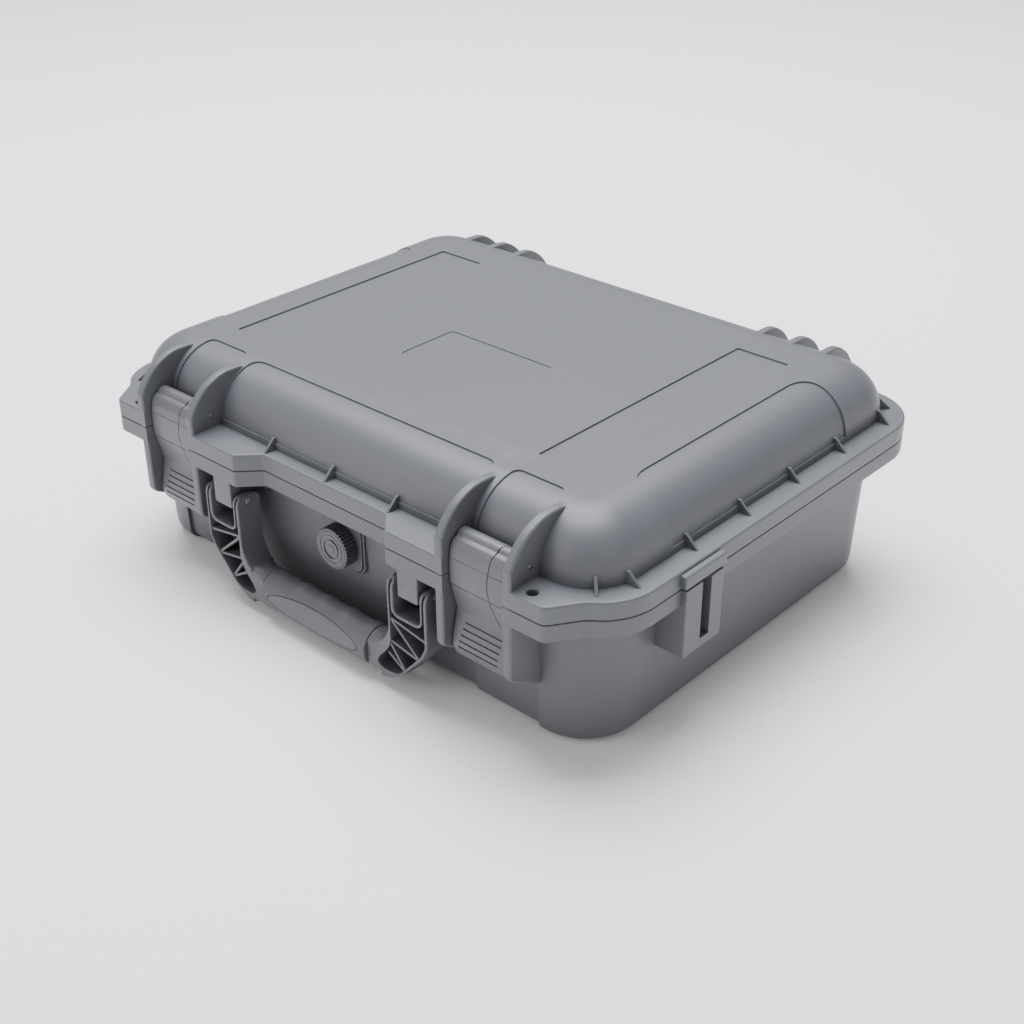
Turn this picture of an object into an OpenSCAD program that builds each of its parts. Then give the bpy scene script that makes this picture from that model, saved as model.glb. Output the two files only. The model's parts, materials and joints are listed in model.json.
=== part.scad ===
// Hard carrying case for a folding camera drone: a moulded lid and base with a rear hinge,
// two draw latches, a swinging handle, an air valve, a seal and a fitted foam interior.
// Frame: X along the front, -Y towards the handle, +Z up. The origin is the middle of the
// box that holds the whole case, on the surface that it stands on.

/* [Case] */
// Width over the strap bosses
case_w = 430; // [400:1:520]
// Depth from the handle's front to the hinge's back
case_d = 340; // [300:1:410]
// Height with the lid shut
case_h = 140; // [125:1:170]
// Height of the lid above the parting line
lid_h = 44; // [38:1:53]
// Thickness of the moulded walls
wall = 4; // [3:0.5:5]
// Plan radius of the shells' upright corners
corner_r = 40; // [36:1:48]

/* [Rims] */
// Height of each rim at the parting line
rim_h = 11; // [9:0.5:13]
// Distance that the rims stand out from the base's walls
rim_out = 14; // [12:0.5:17]
// Plan radius of the rims' corners
rim_r = 39; // [33:1:46]
// Gap between the shut rims
part_gap = 0.4; // [0.3:0.1:0.6]
// Distance that the front bumps and guards stand out from the front rim
bump_out = 13; // [11:0.5:15]
// Hole for a padlock's shackle
padlock_d = 6.5; // [5:0.5:8]

/* [Latches] */
// Distance from a latch's middle to the rim's side
latch_inset = 81; // [78:1:90]
// Width of a latch lever
latch_w = 41.8; // [36:0.2:46]
// Gap at each side of a lever
latch_gap = 0.65; // [0.4:0.05:1]
// Thickness of the guards beside the latches
guard_t = 6; // [5:0.5:8]
// Height of the lever pin above the parting line
latch_pin_up = 19; // [17:0.5:21]
// Diameter of the lever and claw pins
latch_pin_d = 3; // [2.5:0.25:3.5]

/* [Handle] */
// Distance from a lug's middle to the next latch's middle
lug_inset = 50; // [48:1:56]
// Width of a handle lug
lug_w = 16; // [13:0.5:18]
// Depth of the handle's arms, front to back
arm_d = 18; // [15:0.5:19]
// Diameter of the hand grip
grip_d = 23; // [19:0.5:25]
// Distance from a lug's middle to the end of the soft grip
grip_inset = 34; // [32:1:40]
// Diameter of the handle pins
handle_pin_d = 4; // [3:0.5:5]
// Gap between the hanging grip and the floor
handle_floor_gap = 8; // [4:1:14]

/* [Hinges] */
// Distance from a hinge's middle to the rim's side
hinge_inset = 82; // [76:1:96]
// Diameter of the hinge knuckles
knuckle_d = 13; // [11:0.5:14]
// Diameter of the hinge pins
hinge_pin_d = 4; // [3:0.5:5]
// Distance between the three lid ribs of a hinge
rib_pitch = 23.5; // [20:0.5:27]
// Thickness of a hinge rib
rib_t = 6; // [5:0.5:8]

/* [Air valve] */
// Diameter of the valve's knob
knob_d = 27; // [23:0.5:30]
// Diameter of the valve's stem through the wall
stem_d = 12; // [10:0.5:14]

/* [Strap bosses] */
// Width of a strap boss along the side
boss_w = 33.5; // [30:0.5:40]
// Width of the slot in a boss
slot_w = 8; // [6:0.5:10]

/* [Foam] */
// Thickness of the foam pad on the base's floor
floor_pad_t = 10; // [8:1:14]
// Gap between the foams and the shells
foam_gap = 0.4; // [0.3:0.1:0.8]

/* [Hidden] */
$fn = 48;

// Shared clearances
run_gap = 0.05;    // radial gap of a pin in its bore
side_gap = 0.5;    // gap beside a part that swings
soft_gap = 0.3;    // gap around a soft part
eps = 0.01;        // overshoot of a cut

// Heights
part_z = case_h - lid_h;
base_top = part_z - part_gap / 2;
lid_bottom = part_z + part_gap / 2;
rim_top = part_z + rim_h;
flange_z = part_z - rim_h;

// Plan of the rims and the walls
rim_x = case_w / 2 - 4;
guard_y = -case_d / 2 + 3;
rim_front = guard_y + bump_out;
rim_back = case_d / 2 - 7;
wall_x = rim_x - rim_out;
wall_front = rim_front + rim_out;
wall_back = rim_back - rim_out;
draft = 3.5;
floor_r = 10;
ear_w = 22;        // padlock ear, outside the outer guard
padlock_in = 11;   // padlock hole, outside the outer guard's middle
bay_step = 2.5;    // wall behind the latches, forward of the middle
corner_step = 5;   // wall at the corners, forward of the middle

// How far the drafted wall leans in at height z
function wall_lean(z) = draft * (base_top - z) / (base_top - floor_r);

// Dome of the lid
dome_front = rim_front + 9;
dome_back = rim_back - 12;
dome_mid = (dome_front + dome_back) / 2;
dome_r = min(lid_h - rim_h, corner_r - 7);    // kept inside the plan corners
band_in = 4;       // how far in from a bay's sides the band behind a latch starts
recess = 1;
panel_w = 37.5;
panel_x = wall_x - dome_r - 16.5 - panel_w;
panel_margin = 20.5;
plate_w = 86;
plate_d = 47;
plate_y = dome_mid - 51;

// Gussets between the dome and the rim
gusset_foot = 8;
gusset_up = 7.5;
gusset_t = 2;
gusset_lean = 0.5;
gusset_n = 6;      // along each side
gusset_end = 25;   // from the dome's ends

// Crest of the lid's guards, as [back from the guards' front, down from the top]
guard_crest = [[29, 0], [20, 2.7], [11.5, 7.6], [4, 15.8], [0, 22.8]];
guard_chamfer = 4;
guard_toe = 6;

// Seal and its groove
seal_w = 4;
seal_h = 5;
seal_in = 2.5;
cavity_x = wall_x - wall;
cavity_front = dome_front + wall;
cavity_back = dome_back - wall;

// Latch bays
latch_x = rim_x - latch_inset;
bay_w = latch_w + 2 * latch_gap;
bay_y = dome_front - 4.5;
latch_pin_y = bay_y - 1.8;
latch_pin_z = part_z + latch_pin_up;
latch_knuckle_r = latch_pin_d / 2 + 3.8;
lever_wall = 2.8;
claw_pin_y = bay_y - 5.8;
claw_pin_z = part_z - 1;
hook_z = flange_z - 2.5;
claw_w = latch_w - 2 * lever_wall - 2 * side_gap;
guard_drop = 47;
pillar_x = latch_x + bay_w / 2 + guard_t / 2;
guard_xs = [latch_x - bay_w / 2 - guard_t / 2, pillar_x];
lever_back = 3.4;
lever_foot = 14;   // slant of the lever's back above its lip
groove_n = 5;
groove_top = 30;   // below the parting line
groove_pitch = 4.2;
groove_h = 1.2;
groove_out = 11;
groove_d = 3.2;
groove_end = 5.5;
claw_root = 3.5;
claw_neck = [1.2, 2.2];
claw_tip = 0.5;
claw_drop = [5, 3.5];

// Handle
lug_x = latch_x - lug_inset;
grip_l = 2 * (lug_x - grip_inset);
front_rib_pitch = lug_x - 27.5;
lug_y = guard_y + 1;
handle_y = -case_d / 2 + grip_d / 2;
handle_z = flange_z - 12.5;
lug_bottom = handle_z - 5.5;
grip_z = handle_floor_gap + grip_d / 2;
fork_w = lug_w + 5;
prong_t = 5;
arm_in = lug_x - fork_w / 2 - prong_t;
arm_out = lug_x + fork_w / 2 + prong_t;
fork_top = handle_z + 5;
fork_floor = lug_bottom - 12;
handle_bar = 12;
truss_t = 1.8;
truss_in = 0.6;
arm_skin = 2.2;
arm_web = 5;
arm_knee = [4, 22, 14];     // slant of an arm's bend: sideways, and its two heights
arm_heel = [10, 5, 2];
arm_throat = 6;
oval_l = 76.8;
oval_h = 24;
oval_t = 3;

// Hinges
hinge_x = rim_x - hinge_inset;
hinge_y = case_d / 2 - knuckle_d / 2;
hinge_z = part_z;
knuckle_gap = 0.5;
hinge_shelf = 10;
rib_drop = [1, 6, 14, 26];  // fall of a lid rib's crest along its run to the knuckle

// Air valve
valve_z = flange_z - 24;
valve_plate = knob_d + 5;
valve_plate_t = 2;
knob_t = 9;
knob_ring = [0.8, 0.8];     // depth and width of the ring in the knob's face
knob_seat = 3.3;
knurl_n = 36;
knurl_r = 0.7;
knurl_in = 1.2;
plate_r = 6;
valve_tail = 6;
valve_root = 3;
valve_bore = stem_d - 5;
oring_r = 1;
nut_w = stem_d + 9;
nut_t = 3.5;
membrane_t = 0.6;
valve_out_y = wall_front + wall_lean(valve_z + valve_plate / 2) - 0.1;
valve_in_y = wall_front + wall + wall_lean(valve_z - stem_d) + 0.1;

// Strap bosses
boss_y = guard_y + 91;
boss_z = part_z - 43;
slot_z = part_z - 37;
boss_x = case_w / 2 - 0.5;
slot_y = boss_y + 1.5;
slot_floor = wall_x + 2;
slot_lip = 6;
tab_h = 8;
tab_over = 1.5;

// Foam pockets
foam_top = part_z - 8;
foam_bottom = wall + floor_pad_t;
pocket_floor = foam_bottom + 12;
pocket_r = 10;
inner_w = 2 * (cavity_x - 20);
inner_d = cavity_back - cavity_front - 34;
inner_y = cavity_front + 17;
pocket_web = 14;
drone_w = 0.48 * inner_w;
drone_d = 0.55 * inner_d;
remote_w = inner_w - drone_w - pocket_web;
cell_n = 3;
cell_w = (drone_w - (cell_n - 1) * pocket_web) / cell_n;
remote_up = 14;
cell_up = 8;
charger_up = 4;
valve_relief = 12;
lid_foam_up = 4;

// Lever outline: front face from the top of the knuckle down to the lip, as [out, up]
// measured from the lever pin's height line and the bay's face
lever_face = [
    [2, 22.7], [10.3, 20.3], [11.9, 15], [12.6, 9.5], [13.3, 2], [12.7, -6.4], [8.7, -21],
    [8.4, -24.5], [11.6, -38], [12, -45.6], [9.8, -52]
];
// Hollow behind the lever, measured the same way to the outside of its wall
lever_room = [[13.3, 13], [13.3, -4], [8.7, -20], [8.4, -30]];

// ---------------------------------------------------------------- shared shapes

// A solid whose upright wall follows one outline all the way round. The child is the wall's
// half section: x runs outwards from the corner centres to radius r, y is the height.
module wall_sweep(half_x, front, back, r, z0, z1) {
    cx = half_x - r;
    cf = front + r;
    cb = back - r;
    run = cb - cf;
    corners = [[cx, cb, 0], [-cx, cb, 90], [-cx, cf, 180], [cx, cf, 270]];
    lengths = [run, 2 * cx, run, 2 * cx];
    for (i = [0:3]) {
        translate([corners[i][0], corners[i][1], 0]) rotate([0, 0, corners[i][2]]) {
            rotate_extrude(angle = 90) children();
            rotate([90, 0, 0]) linear_extrude(lengths[i]) children();
        }
    }
    translate([-cx, cf, z0]) cube([2 * cx, run, z1 - z0]);
}

// Half section of a dome: upright to z1 - shoulder, then a quarter round
module dome_section(r, z0, z1, shoulder) {
    translate([0, z0]) square([r, z1 - shoulder - z0]);
    translate([0, z0]) square([r - shoulder, z1 - z0]);
    intersection() {
        translate([r - shoulder, z1 - shoulder]) circle(shoulder, $fn = 96);
        translate([r - shoulder, z1 - shoulder]) square(shoulder);
    }
}

// Half section of a tray: drafted wall over a rounded floor edge
module tray_section(r, z0, z1, edge, lean) {
    foot = r - lean;
    arc = [for (a = [0:15:90]) [foot - edge + edge * sin(a), z0 + edge - edge * cos(a)]];
    polygon(concat([[0, z1], [0, z0]], arc, [[r, z1]]));
}

// Rectangle with round corners, given by its edges
module plan_rect(half_x, front, back, r) {
    translate([-half_x + r, front]) square([2 * (half_x - r), back - front]);
    translate([-half_x, front + r]) square([2 * half_x, back - front - 2 * r]);
    for (x = [-1, 1]) {
        translate([x * (half_x - r), front + r]) circle(r, $fn = 96);
        translate([x * (half_x - r), back - r]) circle(r, $fn = 96);
    }
}

// Extrudes a [y, z] outline along X, centred on x
module along_x(x, width) {
    translate([x - width / 2, 0, 0]) rotate([90, 0, 90]) linear_extrude(width) children();
}

// Extrudes an [x, z] outline along Y from y0 to y1
module along_y(y0, y1) {
    translate([0, y1, 0]) rotate([90, 0, 0]) linear_extrude(y1 - y0) children();
}

// Rod along X
module rod_x(x, y, z, d, length) {
    translate([x - length / 2, y, z]) rotate([0, 90, 0]) cylinder(d = d, h = length);
}

module both_sides() {
    children();
    mirror([1, 0, 0]) children();
}

// ---------------------------------------------------------------- rims

// Plan of both rims: the frame, the front bumps with the guards' feet and the padlock ears
module rim_plan() {
    difference() {
        union() {
            plan_rect(rim_x, rim_front, rim_back, rim_r);
            both_sides() rim_bump_plan();
        }
        both_sides() {
            translate([latch_x - bay_w / 2, guard_y - 1]) square([bay_w, bay_y - guard_y + 1]);
        }
    }
}

module rim_bump_plan() {
    bump_in = lug_x - lug_w + 1;
    ear_x = latch_x + bay_w / 2 + guard_t + ear_w;
    polygon([
        [bump_in - bump_out, rim_front], [bump_in, guard_y], [ear_x, guard_y],
        [rim_x - rim_r + 20, rim_front + 5], [rim_x - rim_r, rim_front + rim_r],
        [bump_in - bump_out, rim_front + rim_r]
    ]);
}

module padlock_holes(z0, z1) {
    for (x = [-1, 1]) {
        translate([x * (pillar_x + padlock_in), guard_y + padlock_d + 1.5, z0]) cylinder(d = padlock_d, h = z1 - z0);
    }
}

// ---------------------------------------------------------------- base shell

module base_block(step) {
    wall_sweep(wall_x, wall_front - step, wall_back, corner_r, 0, base_top)
        tray_section(corner_r, 0, base_top, floor_r, draft);
}

// Outer block whose front wall steps forward behind the latches and again at the corners
module base_outer() {
    base_block(0);
    for (zone = [[guard_xs[0], bay_step], [pillar_x, corner_step]]) {
        difference() {
            base_block(zone[1]);
            translate([-zone[0], -case_d, -1]) cube([2 * zone[0], case_d, case_h]);
        }
    }
}

module base_cavity() {
    inner_r = corner_r - wall;
    wall_sweep(wall_x - wall, wall_front + wall, wall_back - wall, inner_r, wall, base_top + 1)
        tray_section(inner_r, wall, base_top + 1, floor_r - wall, draft);
}

module base_guards() {
    low = part_z - guard_drop;
    for (x = guard_xs) {
        along_x(x, guard_t) polygon([
            [wall_front + 1, flange_z + 1], [guard_y, flange_z + 1],
            [guard_y, low + guard_chamfer], [guard_y + guard_chamfer, low],
            [wall_front - guard_toe, low], [wall_front + 1, low - guard_toe]
        ]);
    }
}

module handle_lugs() {
    difference() {
        translate([lug_x - lug_w / 2, lug_y, lug_bottom])
            cube([lug_w, wall_front - lug_y + 1, flange_z - lug_bottom + 1]);
        translate([lug_x - lug_w / 2 - 1, handle_y + arm_d / 2 + 1, lug_bottom - 1])
            cube([lug_w + 2, wall_front - handle_y - arm_d / 2 - 1, flange_z - lug_bottom - 3]);
    }
}

module strap_boss() {
    translate([wall_x - draft, boss_y - boss_w / 2, boss_z])
        cube([boss_x - wall_x + draft, boss_w, base_top - boss_z]);
}

// T-shaped slot for a strap's end, open upwards
module strap_slot() {
    translate([slot_floor, slot_y - slot_w / 2, slot_z])
        cube([boss_x - slot_floor + 1, slot_w, part_z - slot_z]);
    translate([slot_floor, slot_y - slot_w, slot_z])
        cube([boss_x - slot_floor - slot_lip, 2 * slot_w, part_z - slot_z]);
}

module base_hinge_ears() {
    for (x = [hinge_x - rib_pitch / 2, hinge_x + rib_pitch / 2]) {
        along_x(x, rib_pitch - rib_t - 2 * knuckle_gap) {
            translate([hinge_y, hinge_z]) circle(d = knuckle_d);
            polygon([
                [rim_back - 4, flange_z - hinge_shelf], [rim_back - 4, base_top],
                [hinge_y + knuckle_d / 2, hinge_z], [hinge_y + knuckle_d / 2, hinge_z - rib_t]
            ]);
        }
    }
    translate([hinge_x - rib_pitch, wall_back - 1, flange_z - hinge_shelf])
        cube([2 * rib_pitch, rim_back - wall_back - 3, hinge_shelf + 1]);
}

// Room for the lid's ribs to turn in the base's rim
module lid_rib_sweeps() {
    for (x = [-1:1]) {
        rod_x(hinge_x + x * rib_pitch, hinge_y, hinge_z, knuckle_d + 2 * knuckle_gap,
            rib_t + 2 * knuckle_gap);
    }
}

module base_shell() {
    color([0.42, 0.43, 0.46])
    difference() {
        union() {
            base_outer();
            both_sides() {
                base_guards();
                handle_lugs();
                base_hinge_ears();
            }
            translate([0, 0, flange_z]) linear_extrude(base_top - flange_z) rim_plan();
            both_sides() strap_boss();
        }
        base_cavity();
        both_sides() {
            strap_slot();
            lid_rib_sweeps();
            rod_x(hinge_x, hinge_y, hinge_z, hinge_pin_d + 2 * run_gap, 3 * rib_pitch);
            rod_x(lug_x, handle_y, handle_z, handle_pin_d + 2 * run_gap, lug_w + 2);
        }
        padlock_holes(flange_z - 1, base_top + 1);
        translate([0, wall_front - 1, valve_z]) rotate([-90, 0, 0])
            cylinder(d = stem_d + 2 * run_gap, h = wall + draft + 2);
    }
}

// ---------------------------------------------------------------- lid shell

module dome(inset, foot) {
    r = corner_r - inset;
    top = case_h - inset;
    wall_sweep(wall_x - inset, dome_front + inset, dome_back - inset, r, foot, top)
        dome_section(r, foot, top, dome_r - inset);
}

// Boxes over the shallow recessed bands of the dome's shoulders
module band_boxes() {
    middle_w = 2 * (guard_xs[0] - guard_t / 2 - 1);
    band_z = rim_top + wall;
    shoulder_front = dome_front + dome_r;
    translate([-middle_w / 2, dome_front - 5, band_z])
        cube([middle_w, shoulder_front - dome_front + 4, dome_r]);
    both_sides() {
        translate([latch_x - bay_w / 2 + band_in, dome_front - 5, band_z])
            cube([bay_w - 2 * band_in, shoulder_front - dome_front + 6, dome_r]);
        translate([wall_x - dome_r, dome_mid - case_d / 4, band_z])
            cube([dome_r + 5, case_d / 2, dome_r]);
    }
}

module top_recesses() {
    panel_front = dome_front + dome_r + panel_margin;
    panel_d = dome_back - dome_r - panel_margin - panel_front;
    both_sides() {
        translate([panel_x, panel_front, case_h - recess]) cube([panel_w, panel_d, recess + 1]);
    }
    translate([-plate_w / 2, plate_y, case_h - recess]) cube([plate_w, plate_d, recess + 1]);
}

module lid_guards() {
    root = dome_front + dome_r;
    crest = [for (p = guard_crest) [guard_y + p[0], case_h - p[1]]];
    for (x = guard_xs) {
        along_x(x, guard_t)
            polygon(concat([[root, case_h]], crest, [[guard_y, lid_bottom], [root, lid_bottom]]));
    }
}

module gusset(x, y, angle) {
    translate([x, y, 0]) rotate([0, 0, angle])
        along_y(-gusset_t / 2, gusset_t / 2) polygon([
            [-wall, rim_top - 1], [gusset_foot, rim_top - 1], [gusset_foot, rim_top],
            [gusset_lean, rim_top + gusset_up], [-wall + 1, rim_top + gusset_up]
        ]);
}

module gussets() {
    side_pitch = (dome_back - dome_front - 2 * gusset_end) / (gusset_n - 1);
    corner_in = corner_r * (1 - sqrt(0.5));
    for (i = [0:gusset_n - 1]) {
        gusset(wall_x, dome_front + gusset_end + i * side_pitch, 0);
    }
    gusset(front_rib_pitch, dome_front, -90);
    gusset(wall_x - corner_in, dome_front + corner_in, -45);
    gusset(wall_x - corner_in, dome_back - corner_in, 45);
}

module lid_hinge_ribs() {
    for (x = [-1:1]) {
        along_x(hinge_x + x * rib_pitch, rib_t) {
            translate([hinge_y, hinge_z]) circle(d = knuckle_d);
            polygon([
                [dome_back - dome_r, lid_bottom], [dome_back - dome_r, case_h - rib_drop[0]],
                [dome_back - dome_r / 3, case_h - rib_drop[0]], [dome_back, case_h - rib_drop[1]],
                [rim_back - 4, case_h - rib_drop[2]], [hinge_y + 2, case_h - rib_drop[3]],
                [hinge_y + knuckle_d / 2, hinge_z + 4], [hinge_y + knuckle_d / 2, hinge_z],
                [hinge_y, lid_bottom]
            ]);
        }
    }
}

// Room for the base's ears in the lid's rim
module base_ear_sweeps() {
    for (x = [hinge_x - rib_pitch / 2, hinge_x + rib_pitch / 2]) {
        rod_x(x, hinge_y, hinge_z, knuckle_d + 2 * knuckle_gap, rib_pitch - rib_t);
    }
}

module strap_tab() {
    translate([rim_x - 2, boss_y - boss_w / 2 - tab_over, lid_bottom + 1])
        cube([case_w / 2 - rim_x + 2, boss_w + 2 * tab_over, tab_h]);
}

module seal_ring(grow, z0, z1) {
    half_in = cavity_x + seal_in;
    translate([0, 0, z0]) linear_extrude(z1 - z0) difference() {
        plan_rect(half_in + seal_w + grow, cavity_front - seal_in - seal_w - grow,
            cavity_back + seal_in + seal_w + grow, corner_r - wall + seal_in + seal_w + grow);
        plan_rect(half_in - grow, cavity_front - seal_in + grow,
            cavity_back + seal_in - grow, corner_r - wall + seal_in - grow);
    }
}

module lid_shell() {
    color([0.56, 0.58, 0.61])
    difference() {
        union() {
            dome(recess, lid_bottom);
            difference() {
                dome(0, lid_bottom);
                band_boxes();
            }
            translate([0, 0, lid_bottom]) linear_extrude(rim_top - lid_bottom) rim_plan();
            both_sides() {
                lid_guards();
                gussets();
                lid_hinge_ribs();
                strap_tab();
            }
            gusset(0, dome_front, -90);
        }
        top_recesses();
        dome(wall, lid_bottom - 1);
        seal_ring(0.1, lid_bottom - 1, lid_bottom + seal_h);
        padlock_holes(lid_bottom - 1, rim_top + 1);
        both_sides() {
            base_ear_sweeps();
            rod_x(hinge_x, hinge_y, hinge_z, hinge_pin_d + 2 * run_gap, 3 * rib_pitch);
            rod_x(latch_x, latch_pin_y, latch_pin_z, latch_pin_d + 2 * run_gap,
                bay_w + 2 * guard_t + 2);
        }
    }
}

module lid_seal() {
    color([0.08, 0.08, 0.09]) seal_ring(0, lid_bottom - 0.05, lid_bottom + seal_h - 0.1);
}

// ---------------------------------------------------------------- hinge pins

module hinge_pin(side) {
    color("silver") rod_x(side * hinge_x, hinge_y, hinge_z, hinge_pin_d, 2 * rib_pitch + rib_t);
}

// ---------------------------------------------------------------- latches

// Lever outline in the YZ plane
module lever_outline() {
    face = [for (p = lever_face) [bay_y - p[0], part_z + p[1]]];
    lip = face[len(face) - 1];
    polygon(concat(face, [[lip[0] + lever_wall, lip[1]], [bay_y - lever_back, lip[1] + lever_foot],
        [bay_y - lever_back, part_z + 12], [bay_y - 1, part_z + 14]]));
}

module latch_lever(side) {
    x = side * latch_x;
    room = [for (p = lever_room) [bay_y - p[0] + lever_wall, part_z + p[1]]];
    room_z = [part_z + lever_room[3][1], part_z + lever_room[0][1]];
    color([0.44, 0.45, 0.47])
    difference() {
        union() {
            along_x(x, latch_w) lever_outline();
            rod_x(x, latch_pin_y, latch_pin_z, 2 * latch_knuckle_r, latch_w);
        }
        along_x(x, latch_w - 2 * lever_wall)
            polygon(concat(room, [[bay_y + 3, room_z[0]], [bay_y + 3, room_z[1]]]));
        for (i = [0:groove_n - 1]) {
            translate([x - latch_w / 2 + groove_end, bay_y - groove_out - groove_d,
                part_z - groove_top - groove_pitch * i])
                cube([latch_w - 2 * groove_end, groove_d, groove_h]);
        }
        rod_x(x, latch_pin_y, latch_pin_z, latch_pin_d + 2 * run_gap, latch_w + 2);
        rod_x(x, claw_pin_y, claw_pin_z, latch_pin_d + 2 * run_gap, latch_w + 2);
    }
}

// Claw that hooks under the base's rim, drawn swung clear of it
module latch_claw(side) {
    x = side * latch_x;
    color([0.36, 0.37, 0.39])
    difference() {
        along_x(x, claw_w) {
            translate([claw_pin_y, claw_pin_z]) circle(d = latch_pin_d + 5);
            polygon([
                [claw_pin_y - claw_root, claw_pin_z], [claw_pin_y - claw_neck[0], hook_z],
                [claw_pin_y + claw_neck[0], hook_z - claw_drop[0]], [bay_y - 1, hook_z - claw_drop[1]],
                [bay_y - claw_tip, hook_z], [claw_pin_y + claw_neck[1], hook_z],
                [claw_pin_y + claw_root, claw_pin_z]
            ]);
        }
        rod_x(x, claw_pin_y, claw_pin_z, latch_pin_d + 2 * run_gap, claw_w + 2);
    }
}

module latch_lever_pin(side) {
    color("silver")
        rod_x(side * latch_x, latch_pin_y, latch_pin_z, latch_pin_d, bay_w + 2 * guard_t);
}

module latch_claw_pin(side) {
    color("silver") rod_x(side * latch_x, claw_pin_y, claw_pin_z, latch_pin_d, latch_w);
}

// ---------------------------------------------------------------- handle

// Outline of one arm in the XZ plane: fork above, then a bend into the grip
module arm_outline(in) {
    tip_z = fork_top - prong_t / 2;
    knee_z = grip_z + arm_knee[1];
    inner_z = grip_z + grip_d / 2 - in;
    outer_z = handle_floor_gap + in;
    polygon([
        [arm_out - in, tip_z], [arm_out - in, knee_z],
        [arm_out - arm_knee[0] - in, grip_z + arm_knee[2]],
        [arm_in + arm_heel[0] - in, grip_z - arm_heel[1]],
        [arm_in - arm_heel[2], outer_z], [grip_l / 2, outer_z],
        [grip_l / 2, inner_z], [arm_in - arm_throat, inner_z],
        [arm_in + in, knee_z], [arm_in + in, tip_z]
    ]);
}

// One straight rib between two points of the XZ plane
module truss_bar(a, b) {
    dx = b[0] - a[0];
    dz = b[1] - a[1];
    translate(a) rotate(atan2(dz, dx)) translate([0, -truss_t / 2])
        square([norm([dx, dz]), truss_t]);
}

module handle_arm() {
    y0 = handle_y - arm_d / 2;
    y1 = handle_y + arm_d / 2;
    slot_x = lug_x - fork_w / 2;
    elbow_x = arm_out - arm_knee[0];
    top_z = fork_floor - 4;
    mid_z = grip_z + arm_knee[2];
    difference() {
        union() {
            difference() {
                along_y(y0, y1) {
                    arm_outline(0);
                    for (x = [arm_in + prong_t / 2, arm_out - prong_t / 2]) {
                        translate([x, fork_top - prong_t / 2]) circle(d = prong_t);
                    }
                }
                along_y(y0 - 1, y1 - arm_web) difference() {
                    arm_outline(arm_skin);
                    translate([arm_in, fork_floor - arm_skin]) square([arm_out - arm_in, 60]);
                    translate([0, 0]) square([grip_l / 2 + 8, 80]);
                }
            }
            along_y(y0 + truss_in, y1 - arm_web + eps) intersection() {
                arm_outline(arm_skin / 2);
                union() {
                    truss_bar([arm_in, top_z], [arm_out, top_z - 6]);
                    truss_bar([arm_in, top_z], [elbow_x, mid_z]);
                    truss_bar([arm_out, mid_z - 2], [arm_in, mid_z]);
                    truss_bar([arm_in, mid_z], [arm_in + 12, grip_z]);
                    truss_bar([arm_in + 14, grip_z - 1], [arm_in - 4, grip_z + 6]);
                }
            }
        }
        translate([slot_x, y0 - 1, fork_floor]) cube([fork_w, arm_d + 2, 60]);
    }
}

module handle_frame() {
    color([0.38, 0.38, 0.4])
    difference() {
        union() {
            both_sides() handle_arm();
            translate([-grip_l / 2 - 1, handle_y - handle_bar / 2, grip_z - handle_bar / 2])
                cube([grip_l + 2, handle_bar, handle_bar]);
        }
        both_sides() {
            rod_x(lug_x, handle_y, handle_z, handle_pin_d + 2 * run_gap,
                fork_w + 2 * prong_t + 2);
        }
    }
}

module handle_grip() {
    color([0.37, 0.37, 0.39])
    difference() {
        rod_x(0, handle_y, grip_z, grip_d, grip_l);
        translate([-grip_l, handle_y - handle_bar / 2, grip_z - handle_bar / 2])
            cube([2 * grip_l, handle_bar, handle_bar]);
        grip_oval(0.1);
    }
}

module grip_oval(grow) {
    intersection() {
        translate([0, handle_y - grip_d / 2 - 1, grip_z]) rotate([-90, 0, 0])
            linear_extrude(oval_t) scale([oval_l / oval_h, 1]) circle(d = oval_h + grow);
        rod_x(0, handle_y, grip_z, grip_d + grow, grip_l);
    }
}

module grip_inlay() {
    color([0.4, 0.4, 0.42]) grip_oval(0);
}

module handle_pin(side) {
    color("silver")
        rod_x(side * lug_x, handle_y, handle_z, handle_pin_d, fork_w + 2 * prong_t);
}

// ---------------------------------------------------------------- air valve

module valve_rod(y0, y1, d) {
    translate([0, y0, valve_z]) rotate([-90, 0, 0]) cylinder(d = d, h = y1 - y0);
}

module valve_body() {
    half = valve_plate / 2;
    color([0.4, 0.41, 0.43])
    difference() {
        union() {
            along_y(valve_out_y - valve_plate_t, valve_out_y) translate([0, valve_z])
                plan_rect(half, -half, half, plate_r);
            valve_rod(valve_out_y - valve_plate_t - valve_root, valve_in_y + valve_tail, stem_d);
        }
        valve_rod(valve_out_y - 20, valve_in_y + valve_tail + 1, valve_bore);
    }
}

module valve_knob() {
    back = valve_out_y - valve_plate_t - soft_gap;
    front = back - knob_t;
    color([0.42, 0.42, 0.45])
    difference() {
        valve_rod(front, back, knob_d);
        for (i = [1:knurl_n]) {
            translate([0, front + knurl_in, valve_z]) rotate([0, i * 360 / knurl_n, 0])
                translate([knob_d / 2, 0, 0]) rotate([-90, 0, 0]) cylinder(r = knurl_r, h = knob_t);
        }
        valve_rod(back - knob_seat, back + 1, stem_d + 1);
        difference() {
            valve_rod(front - 1, front + knob_ring[0], knob_d / 2);
            valve_rod(front - 2, front + 2, knob_d / 2 - 2 * knob_ring[1]);
        }
    }
}

module valve_oring() {
    color([0.08, 0.08, 0.09]) translate([0, valve_in_y + oring_r, valve_z])
        rotate([-90, 0, 0]) rotate_extrude() translate([stem_d / 2 + oring_r + 0.1, 0])
            circle(oring_r);
}

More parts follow.
